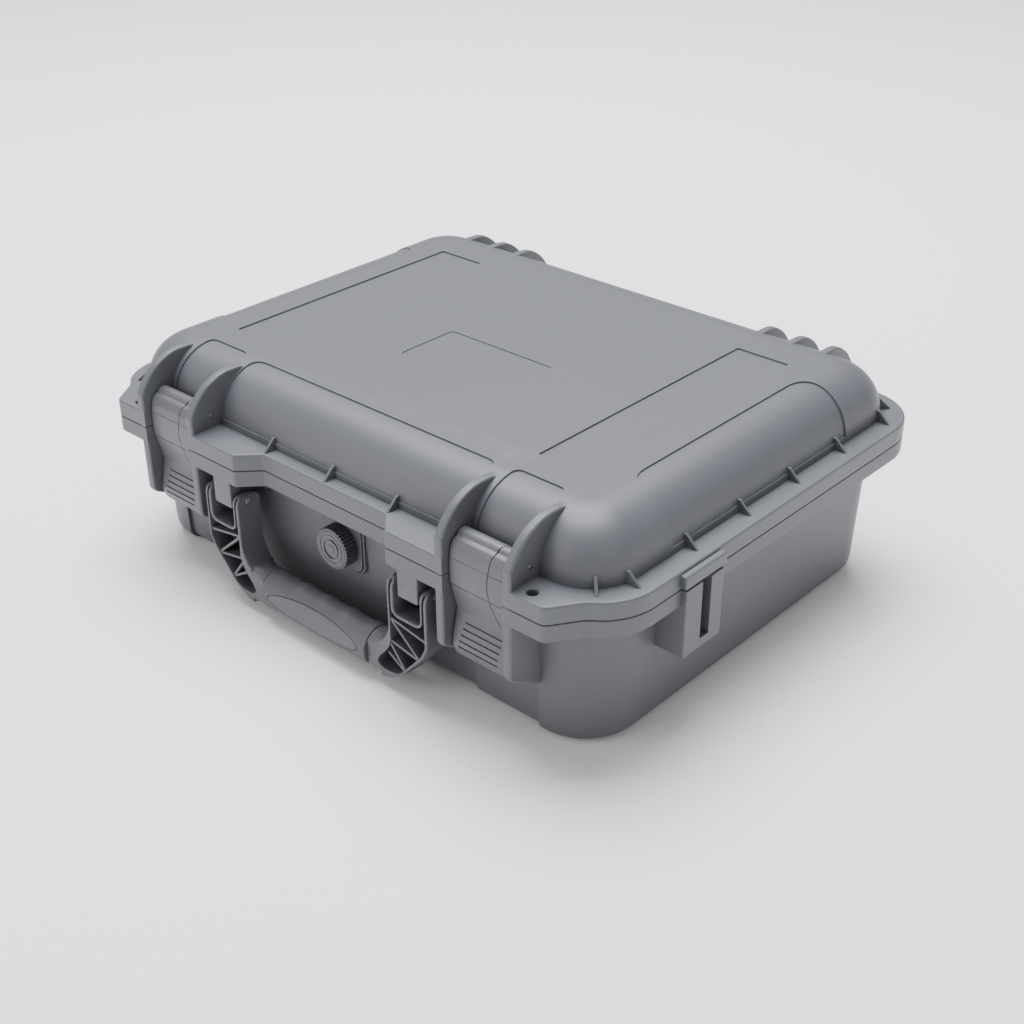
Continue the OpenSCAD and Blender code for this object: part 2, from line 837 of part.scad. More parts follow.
module valve_nut() {
    y0 = valve_in_y + 2 * oring_r + run_gap;
    color([0.2, 0.2, 0.22])
    difference() {
        translate([0, y0, valve_z]) rotate([-90, 0, 0]) cylinder(d = nut_w, h = nut_t, $fn = 6);
        valve_rod(y0 - 1, y0 + nut_t + 1, stem_d + 2 * run_gap);
    }
}

module valve_membrane() {
    color([0.85, 0.85, 0.85])
        valve_rod(valve_in_y - 3, valve_in_y - 3 + membrane_t, valve_bore);
}

// ---------------------------------------------------------------- foams

module floor_pad() {
    color([0.13, 0.13, 0.14]) intersection() {
        base_foam_block();
        translate([0, 0, wall + foam_gap]) linear_extrude(floor_pad_t - 2 * foam_gap)
            square([case_w, case_d], center = true);
    }
}

module base_foam_block() {
    inset = wall + foam_gap;
    r = corner_r - inset;
    wall_sweep(wall_x - inset, wall_front + inset, wall_back - inset, r, inset, base_top + inset)
        tray_section(r, inset, base_top + inset, floor_r - wall, draft);
}

module pocket(x, y, w, d, z0) {
    translate([0, 0, z0]) linear_extrude(foam_top - z0 + 1) translate([x + w / 2, y])
        plan_rect(w / 2, 0, d, pocket_r);
}

module base_foam() {
    x0 = -inner_w / 2;
    back_d = inner_d - drone_d - pocket_web;
    back_y = inner_y + drone_d + pocket_web;
    right_x = x0 + drone_w + pocket_web;
    color([0.16, 0.16, 0.17]) difference() {
        intersection() {
            base_foam_block();
            translate([-case_w, -case_d, foam_bottom])
                cube([2 * case_w, 2 * case_d, foam_top - foam_bottom]);
        }
        pocket(x0, inner_y, drone_w, drone_d, pocket_floor);
        pocket(right_x, inner_y, remote_w, drone_d, pocket_floor + remote_up);
        for (i = [0:cell_n - 1]) {
            pocket(x0 + i * (cell_w + pocket_web), back_y, cell_w, back_d, pocket_floor + cell_up);
        }
        pocket(right_x, back_y, remote_w, back_d, pocket_floor + charger_up);
        valve_rod(wall_front, wall_front + wall + valve_relief, stem_d + valve_relief);
    }
}

module lid_foam() {
    inset = wall + foam_gap;
    foam_base = lid_bottom + lid_foam_up;
    color([0.16, 0.16, 0.17]) intersection() {
        dome(inset, lid_bottom);
        translate([-case_w, -case_d, foam_base]) cube([2 * case_w, 2 * case_d, case_h]);
    }
}

base_shell();
lid_shell();
lid_seal();
floor_pad();
base_foam();
lid_foam();
handle_frame();
handle_grip();
grip_inlay();
handle_pin(-1);  // handle_pin_left
handle_pin(1);  // handle_pin_right
latch_lever(-1);  // latch_left_lever
latch_claw(-1);  // latch_left_claw
latch_lever_pin(-1);  // latch_left_lever_pin
latch_claw_pin(-1);  // latch_left_claw_pin
latch_lever(1);  // latch_right_lever
latch_claw(1);  // latch_right_claw
latch_lever_pin(1);  // latch_right_lever_pin
latch_claw_pin(1);  // latch_right_claw_pin
hinge_pin(-1);  // hinge_pin_left
hinge_pin(1);  // hinge_pin_right
valve_body();
valve_knob();
valve_oring();
valve_membrane();
valve_nut();
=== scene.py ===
"""Looks of a hard carrying case: moulded lid and base, draw latches, handle, valve and foams."""

import json
import logging
import math
from dataclasses import dataclass, field
from enum import Enum

import bmesh
import bpy
from mathutils import Matrix, Vector, noise


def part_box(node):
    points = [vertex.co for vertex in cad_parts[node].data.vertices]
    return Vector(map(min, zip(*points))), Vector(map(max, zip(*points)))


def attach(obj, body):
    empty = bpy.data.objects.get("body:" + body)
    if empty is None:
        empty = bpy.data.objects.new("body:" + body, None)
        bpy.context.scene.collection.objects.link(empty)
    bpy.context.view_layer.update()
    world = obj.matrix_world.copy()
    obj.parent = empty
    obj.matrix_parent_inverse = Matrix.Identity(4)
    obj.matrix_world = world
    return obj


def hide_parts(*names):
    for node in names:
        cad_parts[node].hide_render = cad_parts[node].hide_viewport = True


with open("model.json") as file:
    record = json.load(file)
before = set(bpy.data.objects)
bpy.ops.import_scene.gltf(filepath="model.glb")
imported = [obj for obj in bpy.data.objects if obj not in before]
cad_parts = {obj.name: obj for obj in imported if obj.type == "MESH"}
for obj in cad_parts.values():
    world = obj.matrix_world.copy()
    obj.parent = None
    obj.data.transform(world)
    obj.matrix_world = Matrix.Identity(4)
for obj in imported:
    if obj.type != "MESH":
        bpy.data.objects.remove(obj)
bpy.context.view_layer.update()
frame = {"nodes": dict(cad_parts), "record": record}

LOG = logging.getLogger("carrying_case")
MM = 0.001

Point = tuple[float, float]
Level = tuple[float, float]


def node_box(node: str) -> tuple[Vector, Vector]:
    """The lowest and the highest corner of a CAD node, in mm."""
    return tuple(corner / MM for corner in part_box(node))


def side_centre(node: str) -> Point:
    """The middle of a CAD node seen from the side, as y and z in mm."""
    low, high = node_box(node)
    return (low.y + high.y) / 2, (low.z + high.z) / 2


def front_centre(node: str) -> Point:
    """The middle of a CAD node seen from the front, as x and z in mm."""
    low, high = node_box(node)
    return (low.x + high.x) / 2, (low.z + high.z) / 2


class Axis(Enum):
    """The way that an outline is extruded, with the two axes that the outline is drawn on."""

    X = (1, 2, 0)
    Y = (0, 2, 1)
    Z = (0, 1, 2)


class Side(Enum):
    """Left or right of the case, as the sign of x."""

    LEFT = -1
    RIGHT = 1

    @property
    def label(self) -> str:
        """The side's name as the nodes and bodies use it."""
        return self.name.lower()


# ---------------------------------------------------------------- outlines


def arc(centre: Point, radius: float, start: float, end: float, steps: int = 8) -> list[Point]:
    """Points along an arc.

    Args:
        centre: Middle of the arc.
        radius: Its radius.
        start: First angle in degrees.
        end: Last angle in degrees.
        steps: How many chords the arc has.

    Returns:
        The points, both ends included.
    """
    turns = [math.radians(start + (end - start) * i / steps) for i in range(steps + 1)]
    return [(centre[0] + radius * math.cos(t), centre[1] + radius * math.sin(t)) for t in turns]


def plan_rect(half_x: float, front: float, back: float, radius: float, steps: int = 12) -> list[Point]:
    """Rectangle with round corners, centred on x.

    Args:
        half_x: Half of its width.
        front: Lowest y.
        back: Highest y.
        radius: Radius of its corners.
        steps: Chords in each corner.

    Returns:
        The outline, anticlockwise.
    """
    x, low, high = half_x - radius, front + radius, back - radius
    corners = [((x, low), 270), ((x, high), 0), ((-x, high), 90), ((-x, low), 180)]
    return [p for c, a in corners for p in arc(c, radius, a, a + 90, steps)]


def filleted(points: list[Point], radii: list[float] | float, steps: int = 5) -> list[Point]:
    """Rounds the corners of an outline.

    Args:
        points: The sharp outline.
        radii: One radius for all corners, or one for each.
        steps: Chords in each rounded corner.

    Returns:
        The rounded outline.
    """
    each = radii if isinstance(radii, list) else [radii] * len(points)
    made: list[Point] = []
    for i, (here, radius) in enumerate(zip(points, each)):
        p = Vector(here)
        to_last = (Vector(points[i - 1]) - p)
        to_next = (Vector(points[(i + 1) % len(points)]) - p)
        half = to_last.angle(to_next) / 2
        if radius <= 0 or half > math.radians(89.5):
            made.append(here)
            continue
        reach = min(radius / math.tan(half), 0.49 * to_last.length, 0.49 * to_next.length)
        a, b = p + to_last.normalized() * reach, p + to_next.normalized() * reach
        for k in range(steps + 1):
            t = k / steps
            q = a * (1 - t) ** 2 + p * (2 * t * (1 - t)) + b * t ** 2
            made.append((q.x, q.y))
    return made


def smooth_line(points: list[Point], steps: int = 6) -> list[Point]:
    """A smooth open line through some points.

    Args:
        points: Points that the line goes through.
        steps: Chords between two of them.

    Returns:
        The finer line, its first and last points kept.
    """
    made = [points[0]]
    for i in range(len(points) - 1):
        before = Vector(points[max(i - 1, 0)])
        a, b = Vector(points[i]), Vector(points[i + 1])
        after = Vector(points[min(i + 2, len(points) - 1)])
        out, into = (b - before) / 2, (after - a) / 2
        for k in range(1, steps + 1):
            t = k / steps
            q = (a * (2 * t ** 3 - 3 * t ** 2 + 1) + out * (t ** 3 - 2 * t ** 2 + t)
                 + b * (3 * t ** 2 - 2 * t ** 3) + into * (t ** 3 - t ** 2))
            made.append((q.x, q.y))
    return made


def circle(centre: Point, radius: float, steps: int = 32) -> list[Point]:
    """A round outline, anticlockwise."""
    return arc(centre, radius, 0, 360 - 360 / steps, steps - 1)


def inset(points: list[Point], depth: float) -> list[Point]:
    """Moves an anticlockwise outline inwards by a depth, corner by corner.

    Args:
        points: The outline.
        depth: How far it moves in; negative moves it out.

    Returns:
        As many points as before.
    """
    made = []
    for i, here in enumerate(points):
        p = Vector(here)
        a = (p - Vector(points[i - 1])).normalized()
        b = (Vector(points[(i + 1) % len(points)]) - p).normalized()
        left_a, left_b = Vector((-a.y, a.x)), Vector((-b.y, b.x))
        share = max(1 + left_a.dot(left_b), 0.25)
        q = p + (left_a + left_b) * (depth / share)
        made.append((q.x, q.y))
    return made


def anticlockwise(points: list[Point]) -> list[Point]:
    """The outline in anticlockwise order."""
    area = sum(a[0] * b[1] - b[0] * a[1] for a, b in zip(points, points[1:] + points[:1]))
    return points if area > 0 else list(reversed(points))


def ribbon(path: list[Point], width: float) -> list[Point]:
    """A band of even width along an open path.

    Args:
        path: The middle of the band.
        width: Its width.

    Returns:
        The closed outline.
    """
    left, right = [], []
    for i, here in enumerate(path):
        before, after = Vector(path[max(i - 1, 0)]), Vector(path[min(i + 1, len(path) - 1)])
        along = (after - before).normalized()
        side = Vector((-along.y, along.x)) * width / 2
        left.append(tuple(Vector(here) + side))
        right.append(tuple(Vector(here) - side))
    return right + list(reversed(left))


def mirrored(points: list[Point]) -> list[Point]:
    """The outline's mirror image in x, still anticlockwise."""
    return [(-x, y) for x, y in reversed(points)]


def without_doubles(points: list[Point], apart: float = 1e-4) -> list[Point]:
    """The outline without points that lie on the one before."""
    return [p for i, p in enumerate(points) if (Vector(p) - Vector(points[i - 1])).length > apart]


# ---------------------------------------------------------------- solids


def soft_levels(low: float, high: float, soft_low: float, soft_high: float, steps: int = 3) -> list[Level]:
    """Levels of an extrusion whose two end faces have rounded edges.

    Args:
        low: Where the extrusion starts.
        high: Where it ends.
        soft_low: Radius of the edge at the start.
        soft_high: Radius of the edge at the end.
        steps: Chords in each rounded edge.

    Returns:
        Pairs of a height and how far the outline is moved in there.
    """
    quarter = [math.radians(90 * k / steps) for k in range(steps + 1)]
    start = [(low + soft_low * (1 - math.sin(math.pi / 2 - t)), soft_low * (1 - math.cos(math.pi / 2 - t)))
             for t in quarter] if soft_low else [(low, 0.0)]
    end = [(high - soft_high * (1 - math.sin(t)), soft_high * (1 - math.cos(t)))
           for t in quarter] if soft_high else [(high, 0.0)]
    return start + end


def stack(outline: list[Point], axis: Axis, levels: list[Level]) -> bpy.types.Object:
    """A closed solid through one outline at several levels.

    Args:
        outline: The outline in mm.
        axis: The way that the levels run.
        levels: Pairs of a level in mm and how far the outline is moved in there.

    Returns:
        A loose object, in mm until it is put in place.
    """
    u, v, w = axis.value
    points = anticlockwise(without_doubles(outline))
    mesh = bmesh.new()
    rings = []
    for level, depth in levels:
        ring = []
        for p in inset(points, depth):
            place = [0.0, 0.0, 0.0]
            place[u], place[v], place[w] = p[0], p[1], level
            ring.append(mesh.verts.new(place))
        rings.append(ring)
    count = len(points)
    for low, high in zip(rings, rings[1:]):
        for i in range(count):
            j = (i + 1) % count
            mesh.faces.new((low[i], low[j], high[j], high[i]))
    mesh.faces.new(tuple(reversed(rings[0])))
    mesh.faces.new(tuple(rings[-1]))
    bmesh.ops.recalc_face_normals(mesh, faces=mesh.faces)
    return loose_object(mesh, "solid")


def block(outline: list[Point], axis: Axis, low: float, high: float, soft: float = 0.0,
          soft_low: float | None = None) -> bpy.types.Object:
    """An extruded outline with rounded end edges.

    Args:
        outline: The outline in mm, anticlockwise.
        axis: The way that it is extruded.
        low: Its start.
        high: Its end.
        soft: Radius of the edges at both ends.
        soft_low: Another radius for the start, if it differs.

    Returns:
        A loose object in mm.
    """
    start = soft if soft_low is None else soft_low
    return stack(outline, axis, soft_levels(low, high, start, soft))


def box(low: tuple[float, float, float], high: tuple[float, float, float], soft: float = 0.0,
        corner: float = 0.0) -> bpy.types.Object:
    """An upright box with rounded edges.

    Args:
        low: Lowest corner in mm.
        high: Highest corner in mm.
        soft: Radius of the top and bottom edges.
        corner: Radius of the upright edges.

    Returns:
        A loose object in mm.
    """
    outline = [(low[0], low[1]), (high[0], low[1]), (high[0], high[1]), (low[0], high[1])]
    if corner:
        outline = filleted(outline, corner)
    return block(outline, Axis.Z, low[2], high[2], soft)


def loft(rings: list[list[Vector]]) -> bpy.types.Object:
    """A closed solid through rings of as many points each, in mm.

    Args:
        rings: The rings, from one end to the other.

    Returns:
        A loose object in mm.
    """
    mesh = bmesh.new()
    loops = [[mesh.verts.new(p) for p in ring] for ring in rings]
    count = len(loops[0])
    for low, high in zip(loops, loops[1:]):
        for i in range(count):
            j = (i + 1) % count
            mesh.faces.new((low[i], low[j], high[j], high[i]))
    mesh.faces.new(tuple(reversed(loops[0])))
    mesh.faces.new(tuple(loops[-1]))
    bmesh.ops.recalc_face_normals(mesh, faces=mesh.faces)
    return loose_object(mesh, "loft")


def rod(axis: Axis, centre: Point, radius: float, low: float, high: float, soft: float = 0.0,
        steps: int = 32) -> bpy.types.Object:
    """A rod with rounded end edges, in mm."""
    return block(circle(centre, radius, steps), axis, low, high, soft)


def loose_object(mesh: bmesh.types.BMesh, name: str) -> bpy.types.Object:
    """Turns a bmesh into a linked object.

    Args:
        mesh: The bmesh, which is freed.
        name: Name of the object and its mesh.

    Returns:
        The new object.
    """
    data = bpy.data.meshes.new(name)
    mesh.to_mesh(data)
    mesh.free()
    made = bpy.data.objects.new(name, data)
    bpy.context.scene.collection.objects.link(made)
    return made


def discard(piece: bpy.types.Object) -> None:
    """Removes a loose object and its mesh.

    Args:
        piece: The object.
    """
    data = piece.data
    bpy.data.objects.remove(piece)
    bpy.data.meshes.remove(data)


def bake_modifiers(piece: bpy.types.Object) -> None:
    """Writes what an object's modifiers make into its mesh.

    Args:
        piece: The object, which keeps no modifier.
    """
    graph = bpy.context.evaluated_depsgraph_get()
    data = bpy.data.meshes.new_from_object(piece.evaluated_get(graph))
    old = piece.data
    piece.modifiers.clear()
    piece.data = data
    bpy.data.meshes.remove(old)


def combine(piece: bpy.types.Object, tools: list[bpy.types.Object], how: str) -> bpy.types.Object:
    """Joins solids to a solid, or cuts them from it.

    Args:
        piece: The solid that is changed.
        tools: Loose solids, which are used up.
        how: UNION, DIFFERENCE or INTERSECT.

    Returns:
        The changed solid.
    """
    for tool in tools:
        before = len(piece.data.polygons)
        change = piece.modifiers.new("combine", "BOOLEAN")
        change.operation = how
        change.solver = "MANIFOLD"
        change.object = tool
        bpy.context.view_layer.update()
        bake_modifiers(piece)
        if not len(piece.data.polygons):
            LOG.warning("a %s left nothing of %d faces", how.lower(), before)
        discard(tool)
    return piece


def union(piece: bpy.types.Object, tools: list[bpy.types.Object]) -> bpy.types.Object:
    """Joins loose solids to a solid."""
    return combine(piece, tools, "UNION")


def cut(piece: bpy.types.Object, tools: list[bpy.types.Object]) -> bpy.types.Object:
    """Cuts loose solids from a solid."""
    return combine(piece, tools, "DIFFERENCE")


def both(tools: list[bpy.types.Object]) -> list[bpy.types.Object]:
    """Loose solids with their mirror images in x.

    Args:
        tools: The solids on one side.

    Returns:
        The solids, and then their twins.
    """
    twins = []
    for tool in tools:
        twin = loose_copy(tool)
        twin.data.transform(Matrix.Scale(-1, 4, (1, 0, 0)))
        twin.data.flip_normals()
        twins.append(twin)
    return tools + twins


def loose_copy(piece: bpy.types.Object) -> bpy.types.Object:
    """A linked copy of a loose object with a mesh of its own.

    Args:
        piece: The object.

    Returns:
        The copy.
    """
    twin = bpy.data.objects.new(piece.name, piece.data.copy())
    bpy.context.scene.collection.objects.link(twin)
    return twin


def dressed(piece: bpy.types.Object, name: str, material: bpy.types.Material,
            crease: float = 32.0) -> bpy.types.Object:
    """Turns a solid in mm into a finished piece in metres.

    Args:
        piece: The solid.
        name: Its name.
        material: Its material.
        crease: Edges sharper than this angle in degrees stay hard.

    Returns:
        The same object, smooth shaded and dressed.
    """
    mesh = bmesh.new()
    mesh.from_mesh(piece.data)
    bmesh.ops.remove_doubles(mesh, verts=mesh.verts, dist=0.004)
    bmesh.ops.dissolve_degenerate(mesh, edges=mesh.edges, dist=0.002)
    bmesh.ops.transform(mesh, matrix=Matrix.Scale(MM, 4), verts=mesh.verts)
    limit = math.radians(crease)
    for face in mesh.faces:
        face.smooth = True
    for edge in mesh.edges:
        edge.smooth = edge.is_manifold and edge.calc_face_angle(0) < limit
    mesh.to_mesh(piece.data)
    mesh.free()
    piece.name = name
    piece.data.name = name
    piece.data.materials.clear()
    piece.data.materials.append(material)
    weigh = piece.modifiers.new("weighted_normals", "WEIGHTED_NORMAL")
    weigh.keep_sharp = True
    weigh.weight = 80
    return piece


def placed(piece: bpy.types.Object, body: str, slot: str, *nodes: str) -> bpy.types.Object:
    """Makes a piece ride on a body and hides the CAD nodes that it stands for.

    Args:
        piece: The piece.
        body: The body that it moves with.
        slot: Not used.
        nodes: CAD nodes that it stands for.

    Returns:
        The same object.
    """
    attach(piece, body)
    if nodes:
        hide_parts(*nodes)
    LOG.info("%s rides on %s with %d faces", piece.name, body, len(piece.data.polygons))
    return piece


# ---------------------------------------------------------------- shader groups


def new_group(name: str, inputs: list[tuple[str, str, object]],
              outputs: list[tuple[str, str]]) -> bpy.types.NodeTree:
    """Starts a shader node group.

    Args:
        name: The group's name.
        inputs: Name, socket type and default of each input.
        outputs: Name and socket type of each output.

    Returns:
        The group with its two end nodes, named inputs and outputs.
    """
    tree = bpy.data.node_groups.new(name, "ShaderNodeTree")
    for label, kind, default in inputs:
        socket = tree.interface.new_socket(label, in_out="INPUT", socket_type=kind)
        socket.default_value = default
    for label, kind in outputs:
        tree.interface.new_socket(label, in_out="OUTPUT", socket_type=kind)
    tree.nodes.new("NodeGroupInput").name = "inputs"
    tree.nodes.new("NodeGroupOutput").name = "outputs"
    return tree


def math_node(tree: bpy.types.NodeTree, operation: str, a: object, b: object = 0.0,
              clamp: bool = False) -> bpy.types.NodeSocket:
    """Adds a math node.

    Args:
        tree: The tree that it goes in.
        operation: The operation's name.
        a: First value or socket.
        b: Second value or socket.
        clamp: Whether the result stays between 0 and 1.

    Returns:
        The node's output.
    """
    node = tree.nodes.new("ShaderNodeMath")
    node.operation = operation
    node.use_clamp = clamp
    for socket, value in zip(node.inputs, (a, b)):
        if isinstance(value, bpy.types.NodeSocket):
            tree.links.new(value, socket)
        else:
            socket.default_value = value
    return node.outputs[0]


def noise_node(tree: bpy.types.NodeTree, place: bpy.types.NodeSocket, scale: object, detail: float,
               roughness: float = 0.5) -> bpy.types.NodeSocket:
    """Adds a noise texture and returns its value.

    Args:
        tree: The tree that it goes in.
        place: The coordinates.
        scale: Cells per metre, as a value or a socket.
        detail: Octaves.
        roughness: How strong the fine octaves are.

    Returns:
        The noise, about 0.5.
    """
    node = tree.nodes.new("ShaderNodeTexNoise")
    node.inputs["Detail"].default_value = detail
    node.inputs["Roughness"].default_value = roughness
    tree.links.new(place, node.inputs["Vector"])
    if isinstance(scale, bpy.types.NodeSocket):
        tree.links.new(scale, node.inputs["Scale"])
    else:
        node.inputs["Scale"].default_value = scale
    return node.outputs["Fac"]


def object_place(tree: bpy.types.NodeTree) -> bpy.types.NodeSocket:
    """Coordinates on the object, in metres."""
    return tree.nodes.new("ShaderNodeTexCoord").outputs["Object"]


def grain_group() -> bpy.types.NodeTree:
    """The fine spark-eroded texture of a mould, as a height.

    Returns:
        The group, with inputs Scale and Softness and outputs Height and Sparkle.
    """
    tree = new_group("mould_grain",
                     [("Scale", "NodeSocketFloat", 1600.0), ("Softness", "NodeSocketFloat", 0.5)],
                     [("Height", "NodeSocketFloat"), ("Sparkle", "NodeSocketFloat")])
    ends, outs = tree.nodes["inputs"], tree.nodes["outputs"]
    place = object_place(tree)
    fine = noise_node(tree, place, ends.outputs["Scale"], 2.0, 0.6)
    coarse_scale = math_node(tree, "MULTIPLY", ends.outputs["Scale"], 0.28)
    coarse = noise_node(tree, place, coarse_scale, 2.0)
    soft = math_node(tree, "MULTIPLY", coarse, ends.outputs["Softness"])
    height = math_node(tree, "ADD", fine, soft)
    tree.links.new(height, outs.inputs["Height"])
    tree.links.new(math_node(tree, "SUBTRACT", fine, 0.5), outs.inputs["Sparkle"])
    return tree


def tone_group() -> bpy.types.NodeTree:
    """Slow drift of tone over a moulding: flow marks and handling.

    Returns:
        The group, with inputs Colour, Drift and Scale and outputs Colour and Drift.
    """
    tree = new_group("tone_drift", [("Colour", "NodeSocketColor", (0.3, 0.3, 0.3, 1.0)),
                                    ("Drift", "NodeSocketFloat", 0.06), ("Scale", "NodeSocketFloat", 9.0)],
                     [("Colour", "NodeSocketColor"), ("Drift", "NodeSocketFloat")])
    ends, outs = tree.nodes["inputs"], tree.nodes["outputs"]
    place = object_place(tree)
    slow = noise_node(tree, place, ends.outputs["Scale"], 4.0, 0.55)
    swing = math_node(tree, "SUBTRACT", slow, 0.5)
    gain = math_node(tree, "MULTIPLY_ADD", swing, ends.outputs["Drift"])
    gain.node.inputs[2].default_value = 1.0
    scaled = tree.nodes.new("ShaderNodeVectorMath")
    scaled.operation = "SCALE"
    tree.links.new(ends.outputs["Colour"], scaled.inputs[0])
    tree.links.new(gain, scaled.inputs["Scale"])
    tree.links.new(scaled.outputs[0], outs.inputs["Colour"])
    tree.links.new(swing, outs.inputs["Drift"])
    return tree


def edge_group() -> bpy.types.NodeTree:
    """Mask of worn outer edges, broken up by noise.

    Returns:
        The group, with inputs Amount and Breakup and output Wear.
    """
    tree = new_group("edge_wear", [("Amount", "NodeSocketFloat", 1.0), ("Breakup", "NodeSocketFloat", 60.0)],
                     [("Wear", "NodeSocketFloat")])
    ends, outs = tree.nodes["inputs"], tree.nodes["outputs"]
    geometry = tree.nodes.new("ShaderNodeNewGeometry")
    sharp = math_node(tree, "SUBTRACT", geometry.outputs["Pointiness"], 0.52)
    sharp = math_node(tree, "MULTIPLY", sharp, 9.0, clamp=True)
    patches = noise_node(tree, object_place(tree), ends.outputs["Breakup"], 5.0, 0.65)
    patches = math_node(tree, "SUBTRACT", patches, 0.38)
    patches = math_node(tree, "MULTIPLY", patches, 3.2, clamp=True)
    wear = math_node(tree, "MULTIPLY", sharp, patches)
    tree.links.new(math_node(tree, "MULTIPLY", wear, ends.outputs["Amount"], clamp=True), outs.inputs["Wear"])
    return tree


@dataclass
class Effects:
    """The shader groups that several materials share."""

    grain: bpy.types.NodeTree = field(default_factory=grain_group)
    tone: bpy.types.NodeTree = field(default_factory=tone_group)
    edges: bpy.types.NodeTree = field(default_factory=edge_group)


@dataclass(frozen=True)
class MouldedFinish:
    """A moulded or cast surface: colour, grain, drift of tone and worn edges."""

    name: str
    colour: tuple[float, float, float]
    worn: tuple[float, float, float]
    roughness: float = 0.5
    grain_scale: float = 1500.0
    grain_depth: float = 0.25
    drift: float = 0.07
    wear: float = 0.5
    metallic: float = 0.0
    specular: float = 0.5

    def material(self, effects: Effects) -> bpy.types.Material:
        """Builds the material.

        Args:
            effects: The shared shader groups.

        Returns:
            The finished material.
        """
        made = bpy.data.materials.new(self.name)
        made.use_nodes = True
        tree = made.node_tree
        shader = tree.nodes["Principled BSDF"]
        shader.inputs["Metallic"].default_value = self.metallic
        shader.inputs["Specular IOR Level"].default_value = self.specular
        tone = self.group(tree, effects.tone)
        tone.inputs["Colour"].default_value = (*self.colour, 1.0)
        tone.inputs["Drift"].default_value = self.drift
        edges = self.group(tree, effects.edges)
        edges.inputs["Amount"].default_value = self.wear
        mixed = tree.nodes.new("ShaderNodeMix")
        mixed.data_type = "RGBA"
        mixed.inputs["B"].default_value = (*self.worn, 1.0)
        tree.links.new(edges.outputs["Wear"], mixed.inputs["Factor"])
        tree.links.new(tone.outputs["Colour"], mixed.inputs["A"])
        tree.links.new(mixed.outputs["Result"], shader.inputs["Base Color"])
        grain = self.group(tree, effects.grain)
        grain.inputs["Scale"].default_value = self.grain_scale
        rough = math_node(tree, "MULTIPLY", grain.outputs["Sparkle"], 0.18)
        rough = math_node(tree, "ADD", rough, self.roughness)
        worn_rough = math_node(tree, "MULTIPLY", edges.outputs["Wear"], -0.12)
        tree.links.new(math_node(tree, "ADD", rough, worn_rough, clamp=True), shader.inputs["Roughness"])
        bump = tree.nodes.new("ShaderNodeBump")
        bump.inputs["Strength"].default_value = self.grain_depth
        bump.inputs["Distance"].default_value = 0.0002
        tree.links.new(grain.outputs["Height"], bump.inputs["Height"])
        tree.links.new(bump.outputs["Normal"], shader.inputs["Normal"])
        return made

    @staticmethod
    def group(tree: bpy.types.NodeTree, shared: bpy.types.NodeTree) -> bpy.types.Node:
        """Puts a shared group into a material.

        Args:
            tree: The material's nodes.
            shared: The group.

        Returns:
            The group's node.
        """
        node = tree.nodes.new("ShaderNodeGroup")
        node.node_tree = shared
        return node


@dataclass(frozen=True)
class FoamFinish:
    """Open-cell foam: a dull colour with many small pores."""

    name: str
    colour: tuple[float, float, float]
    pore_scale: float = 900.0

    def material(self, effects: Effects) -> bpy.types.Material:
        """Builds the material.

        Args:
            effects: The shared shader groups.

        Returns:
            The finished material.
        """
        made = bpy.data.materials.new(self.name)
        made.use_nodes = True
        tree = made.node_tree
        shader = tree.nodes["Principled BSDF"]
        shader.inputs["Sheen Weight"].default_value = 0.25
        shader.inputs["Specular IOR Level"].default_value = 0.2
        tone = MouldedFinish.group(tree, effects.tone)
        tone.inputs["Colour"].default_value = (*self.colour, 1.0)
        tone.inputs["Drift"].default_value = 0.35
        tone.inputs["Scale"].default_value = 22.0
        cells = tree.nodes.new("ShaderNodeTexVoronoi")
        cells.inputs["Scale"].default_value = self.pore_scale
        tree.links.new(object_place(tree), cells.inputs["Vector"])
        pore = math_node(tree, "MULTIPLY", cells.outputs["Distance"], 1.6, clamp=True)
        dark = tree.nodes.new("ShaderNodeMix")
        dark.data_type = "RGBA"
        dark.inputs["A"].default_value = tuple(0.35 * c for c in self.colour) + (1.0,)
        tree.links.new(pore, dark.inputs["Factor"])
        tree.links.new(tone.outputs["Colour"], dark.inputs["B"])
        tree.links.new(dark.outputs["Result"], shader.inputs["Base Color"])
        rough = math_node(tree, "MULTIPLY_ADD", pore, 0.08)
        rough.node.inputs[2].default_value = 0.88
        tree.links.new(rough, shader.inputs["Roughness"])
        bump = tree.nodes.new("ShaderNodeBump")
        bump.inputs["Strength"].default_value = 0.6
        bump.inputs["Distance"].default_value = 0.0004
        tree.links.new(pore, bump.inputs["Height"])
        tree.links.new(bump.outputs["Normal"], shader.inputs["Normal"])
        return made


